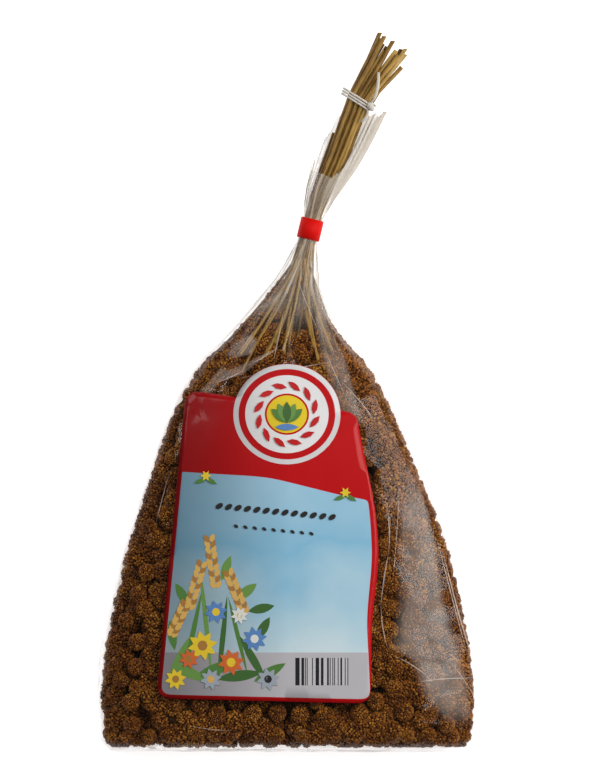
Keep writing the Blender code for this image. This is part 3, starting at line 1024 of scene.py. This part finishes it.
def film_lift(point, out, station, around, gathered, taped):
    """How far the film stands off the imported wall, in millimetres."""
    crinkle = 0.75 * crinkle_height(point, 34, 3) + 0.35 * crinkle_height(point, 15, 9)
    if label_tree.ray_cast(point, UP)[0] is not None and out.z > 0:
        return LABEL_CRINKLE * crinkle
    if point.z < 2 * MM and out.z < 0:
        return 0.0
    body = 1 - past("body", station)
    flare = 1.3 * math.sin(math.tau * 4 * around + 1.0) + 0.9 * math.sin(math.tau * 9 * around)
    return gathered + crinkle * (0.35 + 0.65 * body) * taped + past("flare", station) * flare


def film_haze_and_painted_light(station, around, gathered):
    """How milky the film is: streaked along the neck, and most on the flap right of the mouth. The streaks are
    partly painted glare, and the extra on the flap partly painted shade.
    """
    streak = 1 - min(abs(noise.noise(Vector((around * 17, station / 75, 1.0)))) * 4.5, 1.0)
    fine = 1 - min(abs(noise.noise(Vector((around * 55, station / 50, 4.0)))) * 4.0, 1.0)
    neck = past("neck", station)
    rightness = 0.5 - 0.5 * math.cos(math.tau * around)
    # The streaks along the neck are partly the film's haze and partly painted glare.
    haze_and_painted_light = 0.002 + neck * (0.12 + 0.5 * streak * streak + 0.22 * fine)
    haze_and_painted_light += (1 - neck) * 0.05 * ease(gathered - 0.5)
    # The flap right of the mouth gets extra veil: partly painted shade, which greys it.
    return haze_and_painted_light + 0.55 * past("flap", station) * rightness * rightness


def film_piece():
    bm = bmesh.new()
    haze_and_painted_light_layer = bm.verts.layers.float.new("haze_and_painted_light")
    bmesh.ops.create_uvsphere(bm, u_segments=FILM_AROUND, v_segments=FILM_ROWS, radius=1.0)
    places = lay_on_wall(bm)
    moves = {}
    for vertex, (station, around) in places.items():
        taped = ease((abs(station - TAPE_AT) - 7.5) / 8)
        gathered = pleat_height(around, station) * taped
        lift = film_lift(vertex.co, vertex.normal, station, around, gathered, taped)
        ragged = 4.0 * ripple(9, around, 2.0) + 2.5 * ripple(31, around, 5.0)
        ragged = past("edge", station) * (ragged + 6.5 - 9.5 * math.cos(math.tau * around))
        moved = vertex.co + vertex.normal * lift * MM + Vector((0.45, 0.9, 0)) * ragged * MM
        moved.z = max(moved.z, FLOOR_GAP * MM)
        moves[vertex] = moved
        vertex[haze_and_painted_light_layer] = film_haze_and_painted_light(station, around, gathered)
    for vertex, point in moves.items():
        vertex.co = point
    torn = [face for face in bm.faces if all(torn_away(*places[vertex]) for vertex in face.verts)]
    bmesh.ops.delete(bm, geom=torn, context="FACES")
    return bm


def film_material():
    surface, veil = new_material("clear_film", roughness=0.4, colour=(0.62, 0.55, 0.46))
    haze_and_painted_light = add_node(surface, "Attribute", attribute_name="haze_and_painted_light")
    clear = add_node(surface, "BsdfTransparent")
    shine = add_node(surface, "BsdfGlossy", Roughness=0.10, Color=(1.0, 1.0, 1.0, 1.0))
    rim = add_node(surface, "LayerWeight", Blend=0.22)
    strength = math_node(surface, "MULTIPLY", rim.outputs["Fresnel"], 0.85)
    strength = math_node(surface, "MINIMUM", strength, 0.55)
    bare = mix_shaders(surface, strength, clear.outputs[0], shine.outputs[0])
    # The lit veil is partly the film's own haze, partly painted glare on the neck and painted shade on the
    # flap.
    whole = mix_shaders(surface, haze_and_painted_light.outputs["Fac"], bare, veil.outputs[0])
    link(surface, whole, surface.node_tree.nodes["Material Output"].inputs["Surface"])
    return surface


film = add_piece("clear_bag", film_piece(), [film_material()])
stand_for(film, "bag_film")
print("the film has", len(film.data.polygons), "faces")

# %% [markdown]
# Where the film is folded over it's doubled, and looks milky; where it's creased it shows a fine pale line.
# These lit pale strips also paint the film's glare: the sheen on its folds and the glints on its creases.
# Each is a thin strip laid over the film from above, a little off it, so it follows the crinkles. A fold
# fades out at its edges.


# %% Milky folds and pale creases on the film, which also paint its glare
def fold_and_glare_material(name, strength):
    # The pale veil is partly doubled film and partly painted glare.
    surface, veil = new_material(name, roughness=0.3, colour=(0.95, 0.82, 0.72))
    cloud = object_noise(surface, 38.0, 2.0)
    clear = add_node(surface, "BsdfTransparent")
    fade = add_node(surface, "Attribute", attribute_name="fade")
    factor = math_node(surface, "MULTIPLY", cloud, fade.outputs["Fac"])
    factor = math_node(surface, "MULTIPLY", factor, strength * 2)
    whole = mix_shaders(surface, factor, clear.outputs[0], veil.outputs[0])
    link(surface, whole, surface.node_tree.nodes["Material Output"].inputs["Surface"])
    return surface


FOLDS = (
    (0, ((66, 60), (64.2, 24), (63.2, 5), (62.3, -28), (57.5, -52), (70, -58), (77.6, -80), (98, -103)),
     ((71, 68), (80, 42), (87, 14), (93, -24), (102, -53), (107, -70), (109, -86), (107, -98))),
    (1, ((16.8, 164), (14, 142), (17, 123), (26, 98), (33, 82)),
     ((21, 156), (23, 140), (33, 124), (40, 98), (46, 78))),
    (1, ((-44, 107), (-37, 114), (-10, 126)), ((-44, 107), (-28, 111), (-10, 126))),
    (1, ((-39, 122), (-35, 131), (-24, 136)), ((-38, 120), (-22, 123), (-19, 133))),
    (1, ((-60, 96), (-52, 104), (-40, 118)), ((-50, 96), (-44, 104), (-34, 114))),
)
CREASES = (
    (-45, 106, -26, 115, 0.35), (-27, 116, -5, 129, 0.3), (-31, 109, 26, 119, 0.25),
    (-10, 119, -3.6, 151, 0.3), (4, 170, 17, 137, 0.3), (57.6, 35, 58.8, 4, 0.35), (58.8, 6, 54, -27, 0.35),
    (54, -25, 58, -52, 0.3), (91, 7, 111, -65, 0.4), (88, 12, 107, -60, 0.25), (75, -72, 111, -70, 0.35),
    (62, -56, 84, -70, 0.3), (96, -60, 112, -84, 0.25), (66, 60, 61.5, -10, 0.25), (20, 128, 34, 96, 0.25),
    (-20, 140, -34, 120, 0.25), (30, 108, 52, 82, 0.25), (-72, 52, -80, 22, 0.2), (-60, -98, -34, -101, 0.2),
)
CREASE = 2
FOLD_GRID = (16, 70)
CREASE_GRID = (2, 26)
FOLD_LIFT = 0.25
NO_FILM_HEIGHT = 0.02
film_tree = BVHTree.FromObject(film, bpy.context.evaluated_depsgraph_get())


def on_polyline(points, share):
    """The place at a share of the way through a row of points."""
    at = share * (len(points) - 1)
    i = min(int(at), len(points) - 2)
    return Vector(points[i]).lerp(Vector(points[i + 1]), at - i)


def soft_edges(u, v):
    """1 in the middle of a fold and 0 at its edges."""
    return ease(u * 3.5) * ease((1 - u) * 7) * ease(v * 5) * ease((1 - v) * 8)


def drape(bm, kind, columns, rows, point_at, fade_at):
    """A grid laid on the film: point_at gives the place in millimetres for shares across and along."""
    fade = bm.verts.layers.float["fade"]
    start = len(bm.verts)
    bmesh.ops.create_grid(bm, x_segments=columns, y_segments=rows, size=1.0)
    bm.verts.ensure_lookup_table()
    made = bm.verts[start:]
    for vertex in made:
        u, v = (vertex.co.x + 1) / 2, (vertex.co.y + 1) / 2
        place = point_at(u, v)
        vertex[fade] = fade_at(u, v)
        height = height_at(film_tree, *place)
        if height is None:
            height = NO_FILM_HEIGHT
        vertex.co = Vector((place.x * MM, place.y * MM, height + FOLD_LIFT * MM))
    for face in {face for vertex in made for face in vertex.link_faces}:
        face.material_index = kind


def add_fold(bm, kind, left, right):
    """A broad strip between two lines."""
    drape(bm, kind, *FOLD_GRID, lambda u, v: on_polyline(left, v).lerp(on_polyline(right, v), u), soft_edges)


def add_crease(bm, x0, y0, x1, y1, width):
    """A fine strip with pointed ends, bowed a little."""
    start, end = Vector((x0, y0)), Vector((x1, y1))
    side = Vector((y1 - y0, x0 - x1)).normalized() * width
    bow = side * 3 * math.sin(x0 + y1)

    def crease_point(u, v):
        swell = math.sin(math.pi * v)
        return start.lerp(end, v) + bow * swell + side * (2 * u - 1) * swell

    drape(bm, CREASE, *CREASE_GRID, crease_point, lambda u, v: 1.0)


def fold_piece():
    bm = bmesh.new()
    bm.verts.layers.float.new("fade")
    for fold in FOLDS:
        add_fold(bm, *fold)
    for crease_and_glint in CREASES:
        add_crease(bm, *crease_and_glint)
    return bm


folds_and_glare = add_piece("film_folds_and_glare", fold_piece(), [
    fold_and_glare_material("milky_fold_and_glare", 0.17), fold_and_glare_material("thin_fold_and_glare", 0.13), fold_and_glare_material("crease_and_glint", 0.34),
])
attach(folds_and_glare, "root")
print("the folds have", len(folds_and_glare.data.polygons), "faces")

# %% [markdown]
# ## The label
#
# The label is a glossy printed sheet: a red sheet with a sky panel, a pale strip below, and a round badge at
# the top. It's the imported label's shape, cut finer, given a few soft waves, and pushed out a little at the
# right edge and round the badge. Its print is drawn by the material in millimetres across the flat sheet,
# whose coordinates each vertex keeps as an attribute, with plants for pictures and no words. The material
# also paints shade over the print, darker towards the label's left edge.

# %% The printed label
SHEET_CORNERS = ((-79.5, -81.5), (48.5, -84.5), (40.5, 88.0), (-62.0, 102.0))
BADGE_CENTRE = (-1.8, 87.6)
RED = (0.50, 0.004, 0.006)
PAPER = (0.78, 0.77, 0.76)
SHARP_EDGE = math.radians(40)
SHEET_MIDDLE = Vector((-10, 0)) * MM
EDGE_INSET = 0.004
SHEET_LIFT = 0.35
SHEET_OFF_FILM = 0.3
BLEND_REACH = 12
BULGE = 5.0
BADGE_WIDER = 0.07
BARS_PER_MM = 1.9
FLAT = 1e6
BARS_BOX = (19, -65.5, 0, 15.8, 8.2)
# Painted shade: how dark the label is painted, from its left edge to its middle.
SIDE_PAINTED_SHADE = ((0.0, 0.42), (0.5, 0.68), (1.0, 1.0))


def sheet_height(point, reach):
    """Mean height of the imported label's front over a small disc, so that its flat facets blend."""
    heights = []
    for ring, count in ((0.0, 1), (0.5, 6), (1.0, 8)):
        for k in range(count):
            turn = math.tau * k / count
            x = point.x + reach * ring * math.cos(turn)
            y = point.y + reach * ring * math.sin(turn)
            hit = label_tree.ray_cast(Vector((x, y, 0.2)), -UP)
            if hit[0] is not None:
                heights.append(hit[0].z)
    return sum(heights) / len(heights) if heights else None


def sheet_shift(x, y):
    """How far right the sheet is pushed at a place: a bulge of its right edge, and a wider badge."""
    bulge = ease((88 - y) / 70) * ease((y + 42) / 52)
    to_badge = Vector((x - BADGE_CENTRE[0], y - BADGE_CENTRE[1]))
    wider = BADGE_WIDER * to_badge.x * (1 - ease((to_badge.length - 31) / 7))
    return BULGE * bulge * ease((x - 26) / 18) + wider


def sheet_wave(x, y):
    slow = noise.noise(Vector((x / 26, y / 60, 3.0)))
    return 0.28 * slow + 0.12 * noise.noise(Vector((x / 11, y / 30, 8.0)))


def label_bmesh():
    bm = merged_copy("label")
    bmesh.ops.subdivide_edges(bm, edges=bm.edges, cuts=3, use_grid_fill=True)
    flat = bm.verts.layers.float_vector.new("sheet")
    for vertex in bm.verts:
        vertex[flat] = vertex.co / MM
        x, y = vertex.co.x / MM, vertex.co.y / MM
        inner = vertex.co.lerp(Vector((*SHEET_MIDDLE, vertex.co.z)), EDGE_INSET)
        own = sheet_height(inner, 0.0)
        rise = (sheet_wave(x, y) + SHEET_LIFT) * MM
        if own is not None:
            rise += sheet_height(inner, BLEND_REACH * MM) - own
        underside = label_tree.ray_cast(Vector((inner.x, inner.y, -0.1)), UP)[0]
        under_film = film_tree.ray_cast(Vector((inner.x, inner.y, 0.2)), -UP)[0]
        if underside is not None and under_film is not None:
            rise = max(rise, under_film.z + SHEET_OFF_FILM * MM - underside.z)
        vertex.co.z += rise
        vertex.co.x += sheet_shift(x, y) * MM
    return bm


# %% [markdown]
# The print is flat fields: each shape says where it is inside, and its colour goes over what is there.


# %% Print the label
class Print:
    """Draws flat shapes into one material, each over what was drawn before, in millimetres."""

    def __init__(self, surface):
        self.surface = surface
        sheet = add_node(surface, "Attribute", attribute_name="sheet")
        self.place = sheet.outputs["Vector"]
        self.x, self.y = self.parts_of(self.place)
        self.colour = RED

    def parts_of(self, vector):
        return add_node(self.surface, "SeparateXYZ", Vector=vector).outputs[:2]

    def local(self, x, y, angle, length, width):
        """The place in a shape's own frame, where the shape reaches from -1 to 1 both ways."""
        moved = add_node(
            self.surface, "Mapping", vector_type="TEXTURE", Vector=self.place, Location=(x, y, 0),
            Rotation=(0, 0, math.radians(angle)), Scale=(length, width, FLAT),
        )
        return self.parts_of(moved.outputs[0])

    def fill(self, inside, colour, sharp):
        """Paints a colour where a value is above zero, with an edge as soft as 1 / sharp."""
        mask = math_node(self.surface, "MULTIPLY", inside, sharp, clamp=True)
        self.colour = mix_colour(self.surface, mask, self.colour, colour)

    def disc(self, x, y, radius, colour):
        u, v = (math_node(self.surface, "MULTIPLY", way, way) for way in self.local(x, y, 0, radius, radius))
        total = math_node(self.surface, "ADD", u, v)
        self.fill(math_node(self.surface, "SUBTRACT", 1.0, total), colour, radius * 2.5)


def inset_value(drawing, sides):
    """How far inside all the sides a place is; a side is (point, outward direction, inset, corner radius)."""
    inside = None
    for point, out, inset, corner in sides:
        normal = Vector(out).normalized()
        value = add_node(drawing.surface, "VectorMath", operation="DOT_PRODUCT")
        link(drawing.surface, drawing.place, value.inputs[0])
        value.inputs[1].default_value = (-normal.x, -normal.y, 0)
        offset = Vector(point).dot(normal) - inset
        distance = math_node(drawing.surface, "ADD", value.outputs["Value"], offset)
        if inside is None:
            inside = distance
        else:
            inside = math_node(drawing.surface, "SMOOTH_MIN", inside, distance, corner)
    return inside


def sky_colour(drawing):
    """A blue gradient with soft clouds."""
    surface = drawing.surface
    height = math_node(surface, "MULTIPLY", drawing.y, 1 / 130)
    height = math_node(surface, "ADD", height, 0.62)
    cloud = add_node(surface, "TexNoise", Vector=drawing.place, Scale=0.022, Detail=3.0, Roughness=0.45)
    soft = math_node(surface, "MULTIPLY", cloud.outputs["Fac"], 0.8)
    tone = math_node(surface, "SUBTRACT", math_node(surface, "ADD", height, 0.35), soft)
    stops = (
        (0.10, (0.62, 0.75, 0.79)),
        (0.42, (0.42, 0.63, 0.74)),
        (0.68, (0.24, 0.50, 0.68)),
        (1.00, (0.36, 0.58, 0.72)),
    )
    return ramp(surface, tone, stops)


def label_material():
    surface, shader = new_material("printed_label", roughness=0.4, specular=0.12)
    drawing = Print(surface)
    corners = [Vector(corner) for corner in SHEET_CORNERS]
    sides = []
    for i, inset in ((0, 2.4), (1, 0.4), (3, 2.4)):
        a, b = corners[i], corners[(i + 1) % 4]
        sides.append((a, (b.y - a.y, a.x - b.x), inset, 9.0))
    sides.append(((-66.0, 53.5), (0.06, 1.0), 0.0, 1.0))
    sides.append(((50.0, 34.6), (0.25, 1.0), 0.0, 3.0))
    panel = inset_value(drawing, sides)
    drawing.fill(panel, sky_colour(drawing), 4.0)
    strip = math_node(surface, "SUBTRACT", -54.0, drawing.y)
    strip = math_node(surface, "MINIMUM", strip, panel)
    drawing.fill(strip, (0.50, 0.48, 0.50), 3.0)
    draw_bars(drawing)
    draw_badge(drawing)
    # Painted shade: a ramp across the sheet darkens the print towards the left edge, where the sheet curves
    # down away from the light.
    side = math_node(surface, "MULTIPLY", drawing.x, 1 / 70)
    side = math_node(surface, "ADD", side, 1.0, clamp=True)
    side = ramp(surface, side, [(place, (grey, grey, grey)) for place, grey in SIDE_PAINTED_SHADE])
    shaded_print = mix_colour(surface, 1.0, drawing.colour, side, blend="MULTIPLY")
    link(surface, shaded_print, shader.inputs["Base Color"])
    shader.inputs["Coat Weight"].default_value = 0.16
    shader.inputs["Coat Roughness"].default_value = 0.07
    return surface


def draw_bars(drawing):
    """Bars of chance widths in a box: they encode nothing."""
    surface = drawing.surface
    bars = math_node(surface, "MULTIPLY", drawing.x, BARS_PER_MM)
    bars = math_node(surface, "FLOOR", bars)
    chance = add_node(surface, "TexWhiteNoise", noise_dimensions="1D", W=bars)
    across, down = (math_node(surface, "ABSOLUTE", way) for way in drawing.local(*BARS_BOX))
    box = math_node(surface, "LESS_THAN", math_node(surface, "MAXIMUM", across, down), 1.0)
    dark = math_node(surface, "GREATER_THAN", chance.outputs["Value"], 0.47)
    drawing.fill(box, (0.55, 0.53, 0.54), 1.0)
    drawing.fill(math_node(surface, "MULTIPLY", box, dark), (0.02, 0.02, 0.025), 1.0)


def draw_badge(drawing):
    rings = (
        (29.9, (0.66, 0.65, 0.65)), (27.0, RED), (23.3, PAPER), (12.4, RED), (11.3, (0.78, 0.58, 0.03)),
    )
    for radius, colour in rings:
        drawing.disc(*BADGE_CENTRE, radius, colour)


label = add_piece("printed_sheet", label_bmesh(), [label_material()])
label.data.set_sharp_from_angle(angle=SHARP_EDGE)
stand_for(label, "label")

# %% [markdown]
# The pictures are made-up plants: blades, leaves, ears of grain and round flowers. Each is a flat shape of
# ink, a leaf or an oval, laid on the sheet so that it follows the sheet's waves.

# %% Plan the printed shapes
INKS = {
    "dark_green": (0.05, 0.13, 0.03),
    "green": (0.08, 0.20, 0.04),
    "light_green": (0.14, 0.28, 0.06),
    "brown": (0.38, 0.18, 0.04),
    "straw": (0.66, 0.40, 0.10),
    "yellow": (0.76, 0.54, 0.03),
    "orange": (0.62, 0.13, 0.03),
    "blue": (0.10, 0.23, 0.50),
    "grey": (0.33, 0.37, 0.42),
    "black": (0.02, 0.018, 0.018),
    "white": (0.72, 0.72, 0.68),
    "red": RED,
}


def leaf_point(u, v):
    return u, v * (1 - u * u)


def oval_point(u, v):
    return u * math.sqrt(1 - v * v / 2), v * math.sqrt(1 - u * u / 2)


def compass(degrees):
    """The way at an angle from the right, on the sheet."""
    return Vector((math.cos(math.radians(degrees)), math.sin(math.radians(degrees))))


def badge_shapes():
    x, y = BADGE_CENTRE
    shapes = []
    for k in range(12):
        turn = 30 * k + 15
        away = compass(turn) * 17.2
        shapes.append((leaf_point, x + away.x, y + away.y, turn + 65, 4.6, 1.8, "red"))
    for angle, ink in ((40, "green"), (140, "green"), (65, "light_green"), (115, "light_green"),
                       (90, "dark_green")):
        away = compass(angle) * 5.6
        shapes.append((leaf_point, x + away.x, y - 4.5 + away.y, angle, 6.4, 2.6, ink))
    shapes.append((leaf_point, x, y - 7.6, 0, 7.0, 2.0, "blue"))
    return shapes


def ear_shapes(x, y, angle, length):
    """Two rows of grains along a line."""
    along = compass(angle)
    shapes = []
    for k in range(9):
        for side in (-1, 1):
            place = Vector((x, y)) + along * (k - 4) * length / 4.6
            place += Vector((-along.y, along.x)) * side * 1.7
            ink = "straw" if (k + side) % 3 else "brown"
            shapes.append((oval_point, place.x, place.y, angle + side * 28, 2.5, 1.5, ink))
    return shapes


def flower_shapes(x, y, radius, petal, heart):
    """Four crossed leaves, which make eight petals, and a round heart."""
    petals = [(leaf_point, x, y, 45 * k + 12, radius, radius * 0.34, petal) for k in range(4)]
    return [*petals, (oval_point, x, y, 0, radius * 0.34, radius * 0.34, heart)]


def plant_shapes():
    """Blades and leaves behind, ears above them, flowers in front, and a row of grains under the band."""
    shapes = []
    greens = ("green", "light_green", "dark_green")
    blades = (
        (-58, -44, 78, 28, 1.5), (-50, -36, 96, 32, 1.4), (-40, -46, 84, 26, 1.6), (-31, -44, 104, 24, 1.3),
        (-66, -58, 64, 15, 2.2), (-22, -58, 120, 16, 2.4), (-44, -64, 20, 13, 3.4), (-60, -66, 155, 12, 3.2),
        (-30, -68, 8, 14, 3.2), (-12, -66, 30, 11, 3.0), (-26, -18, 38, 8, 3.0), (-17, -28, 12, 8, 2.8),
        (-64, -20, 120, 8, 2.8), (-38, -4, 70, 8, 2.6), (-16, -40, 60, 8, 2.8), (-70, -44, 100, 9, 2.6),
    )
    for i, (x, y, angle, length, width) in enumerate(blades):
        shapes.append((leaf_point, x, y, angle, length, width, greens[i % 3]))
    ears = ((-56, -14, 74, 15), (-46, 0, 98, 16), (-32, -18, 112, 14), (-66, -34, 66, 11))
    for ear in ears:
        shapes += ear_shapes(*ear)
    flowers = (
        (-52, -50, 9.0, "yellow", "brown"), (-35, -60, 8.0, "orange", "yellow"),
        (-68, -70, 6.5, "yellow", "brown"), (-21, -46, 7.5, "blue", "white"),
        (-13, -70, 7.0, "grey", "black"), (-44, -30, 7.0, "blue", "yellow"),
        (-60, -58, 6.0, "orange", "brown"), (-30, -32, 5.5, "white", "yellow"),
        (-47, -70, 6.5, "grey", "straw"),
    )
    for flower in flowers:
        shapes += flower_shapes(*flower)
    for i in range(13):
        shapes.append((oval_point, -42 + i * 5.6, 33 - i * 0.55, 35, 2.5, 1.5, "black"))
    for i in range(9):
        shapes.append((oval_point, -32 + i * 5.6, 21 - i * 0.55, -35, 1.5, 0.9, "black"))
    for x, y in ((-50, 51), (33, 41)):
        shapes.append((leaf_point, x - 3, y - 3.0, 20, 4.2, 1.4, "green"))
        shapes.append((leaf_point, x + 3, y - 3.0, 150, 4.2, 1.4, "green"))
        for k in range(3):
            shapes.append((leaf_point, x, y, 60 * k, 3.4, 1.1, "yellow"))
    return shapes


# %% [markdown]
# A shape is a small grid bent into a leaf or an oval, and each later shape lies a hair above the one before.

# %% Lay each shape on the sheet
LOWEST_INK = 0.04
INK_STEP = 0.004
NO_SHEET_HEIGHT = 0.056
SMALL_SHAPE = 6
FINENESS = (3, 8)
sheet_tree = BVHTree.FromObject(label, bpy.context.evaluated_depsgraph_get())


def add_ink(bm, order, shape_point, x, y, angle, length, width, ink):
    start = len(bm.verts)
    finest = FINENESS[0] if length < SMALL_SHAPE else FINENESS[1]
    bmesh.ops.create_grid(bm, x_segments=finest, y_segments=max(2, finest // 2), size=1.0)
    bm.verts.ensure_lookup_table()
    turned = Matrix.Rotation(math.radians(angle), 2)
    made = bm.verts[start:]
    for vertex in made:
        u, v = shape_point(vertex.co.x, vertex.co.y)
        place = turned @ Vector((u * length, v * width)) + Vector((x, y))
        height = height_at(sheet_tree, *place)
        if height is None:
            height = NO_SHEET_HEIGHT
        rise = LOWEST_INK + order * INK_STEP
        vertex.co = Vector((place.x * MM, place.y * MM, height + rise * MM))
    for face in {face for vertex in made for face in vertex.link_faces}:
        face.material_index = list(INKS).index(ink)


art = bmesh.new()
for order, shape in enumerate(plant_shapes() + badge_shapes()):
    add_ink(art, order, *shape)
ink_surfaces = [new_material("ink_" + name, 0.3, colour=colour)[0] for name, colour in INKS.items()]
art_piece = add_piece("label_pictures", art, ink_surfaces)
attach(art_piece, "root")
print("the label has", len(label.data.polygons), "faces, and its pictures", len(art_piece.data.polygons))

# %% [markdown]
# ## Tape and string
#
# The tape is a satin red band wound once round the neck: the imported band, cut finer. The string is a twisted
# cord with some fuzz. Its turns lie close together, so they are pulled nearer to each other along the stems.

# %% Tape and string
WRAP_HALF = 5
WRAP_PULL = 0.4
THICKER = 0.2
FUZZ = 0.14
FUZZ_SCALE = 1.1
ALONG_STEMS = Vector((math.sin(STEMS_TURN), math.cos(STEMS_TURN), 0))


def finer_piece(name, node, surface):
    bm = merged_copy(node)
    bmesh.ops.subdivide_edges(bm, edges=bm.edges, cuts=1, use_grid_fill=True, smooth=0.0)
    piece = add_piece(name, bm, [surface])
    stand_for(piece, node)
    return piece


tape_surface, _ = new_material("red_tape", roughness=0.5, specular=0.08, colour=(0.66, 0.006, 0.004))
tape = finer_piece("tape_band", "neck_tape", tape_surface)
tape.data.set_sharp_from_angle(angle=SHARP_EDGE)
string_surface, _ = new_material("twisted_string", roughness=0.85, specular=0.2, colour=(0.62, 0.57, 0.50))
string = finer_piece("string_cord", "string_tie", string_surface)
string_middle = sum((vertex.co for vertex in string.data.vertices), Vector()) / len(string.data.vertices)
for vertex in string.data.vertices:
    along = (vertex.co - string_middle).dot(ALONG_STEMS)
    pulled = max(-WRAP_HALF * MM, min(WRAP_HALF * MM, along)) * WRAP_PULL
    fuzz = noise.noise_vector(vertex.co / (FUZZ_SCALE * MM)) * FUZZ * MM
    vertex.co = vertex.co + vertex.normal * THICKER * MM - ALONG_STEMS * pulled + fuzz
print("tape and string have", len(tape.data.polygons), "and", len(string.data.polygons), "faces")

# %% [markdown]
# ## Light, floor and camera
#
# The photo is a product picture on white: a big soft window from the upper right, weak light from all other
# sides, and next to no shadow, so the white floor glows a little. The camera looks straight down from so far
# off that the bag shows almost no perspective. Its view is the photo's, at 0.6 mm a pixel.

# %% Light, floor and camera
PIXEL = 0.6
PHOTO = (600, 780)
ORIGIN_PIXEL = (290, 560)
BAG_MIDDLE = 27.0
to_right, to_top = PHOTO[0] / 2 - ORIGIN_PIXEL[0], ORIGIN_PIXEL[1] - PHOTO[1] / 2
VIEW_CENTRE = Vector((to_right * PIXEL, to_top * PIXEL, BAG_MIDDLE)) * MM
CAMERA_HEIGHT = 3.5
SENSOR = 36.0

camera_data = bpy.data.cameras.new("camera")
camera = bpy.data.objects.new("camera", camera_data)
bpy.context.scene.collection.objects.link(camera)
camera.location = VIEW_CENTRE + Vector((0, 0, CAMERA_HEIGHT))
camera_data.sensor_width = SENSOR
camera_data.lens = SENSOR * CAMERA_HEIGHT / (PHOTO[1] * PIXEL * MM)
bpy.context.scene.camera = camera

WHITE_TABLE = (0.93, 0.93, 0.93)
floor_surface, floor_shader = new_material("white_table", roughness=0.6, specular=0.2, colour=WHITE_TABLE)
floor_shader.inputs["Emission Color"].default_value = (1.0, 1.0, 1.0, 1.0)
floor_shader.inputs["Emission Strength"].default_value = 0.85
bm = bmesh.new()
bmesh.ops.create_grid(bm, x_segments=1, y_segments=1, size=3.0)
floor = add_piece("floor", bm, [floor_surface], smooth=False)
floor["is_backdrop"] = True


def area_light(name, place, target, size, power):
    data = bpy.data.lights.new(name, "AREA")
    data.shape = "RECTANGLE"
    data.size, data.size_y = size
    data.energy = power
    light = bpy.data.objects.new(name, data)
    light.location = place
    light.rotation_mode = "QUATERNION"
    light.rotation_quaternion = (Vector(target) - Vector(place)).to_track_quat("-Z", "Y")
    bpy.context.scene.collection.objects.link(light)


area_light("window", (0.75, 0.35, 0.85), (0, 0.03, 0), (0.75, 1.1), 13.2)
area_light("fill", (-0.6, 0.7, 1.2), (0, 0.05, 0), (0.5, 0.5), 4.5)
world = bpy.data.worlds.new("studio")
bpy.context.scene.world = world
world.use_nodes = True
world.node_tree.nodes["Background"].inputs["Color"].default_value = (1.0, 1.0, 1.0, 1.0)
world.node_tree.nodes["Background"].inputs["Strength"].default_value = 0.11
bpy.context.scene.view_settings.view_transform = "Standard"

# %% [markdown]
# ## Hand the sizes over
# The finished pieces' box is found, and their triangles are counted and printed.
# The solids' box and the finished pieces' box go to a small file, so that the two can be compared.

# %% Find the box and count the triangles
low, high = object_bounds()
triangles = 0
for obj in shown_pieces():
    obj.data.calc_loop_triangles()
    triangles += len(obj.data.loop_triangles)
print("all pieces:", triangles, "triangles")
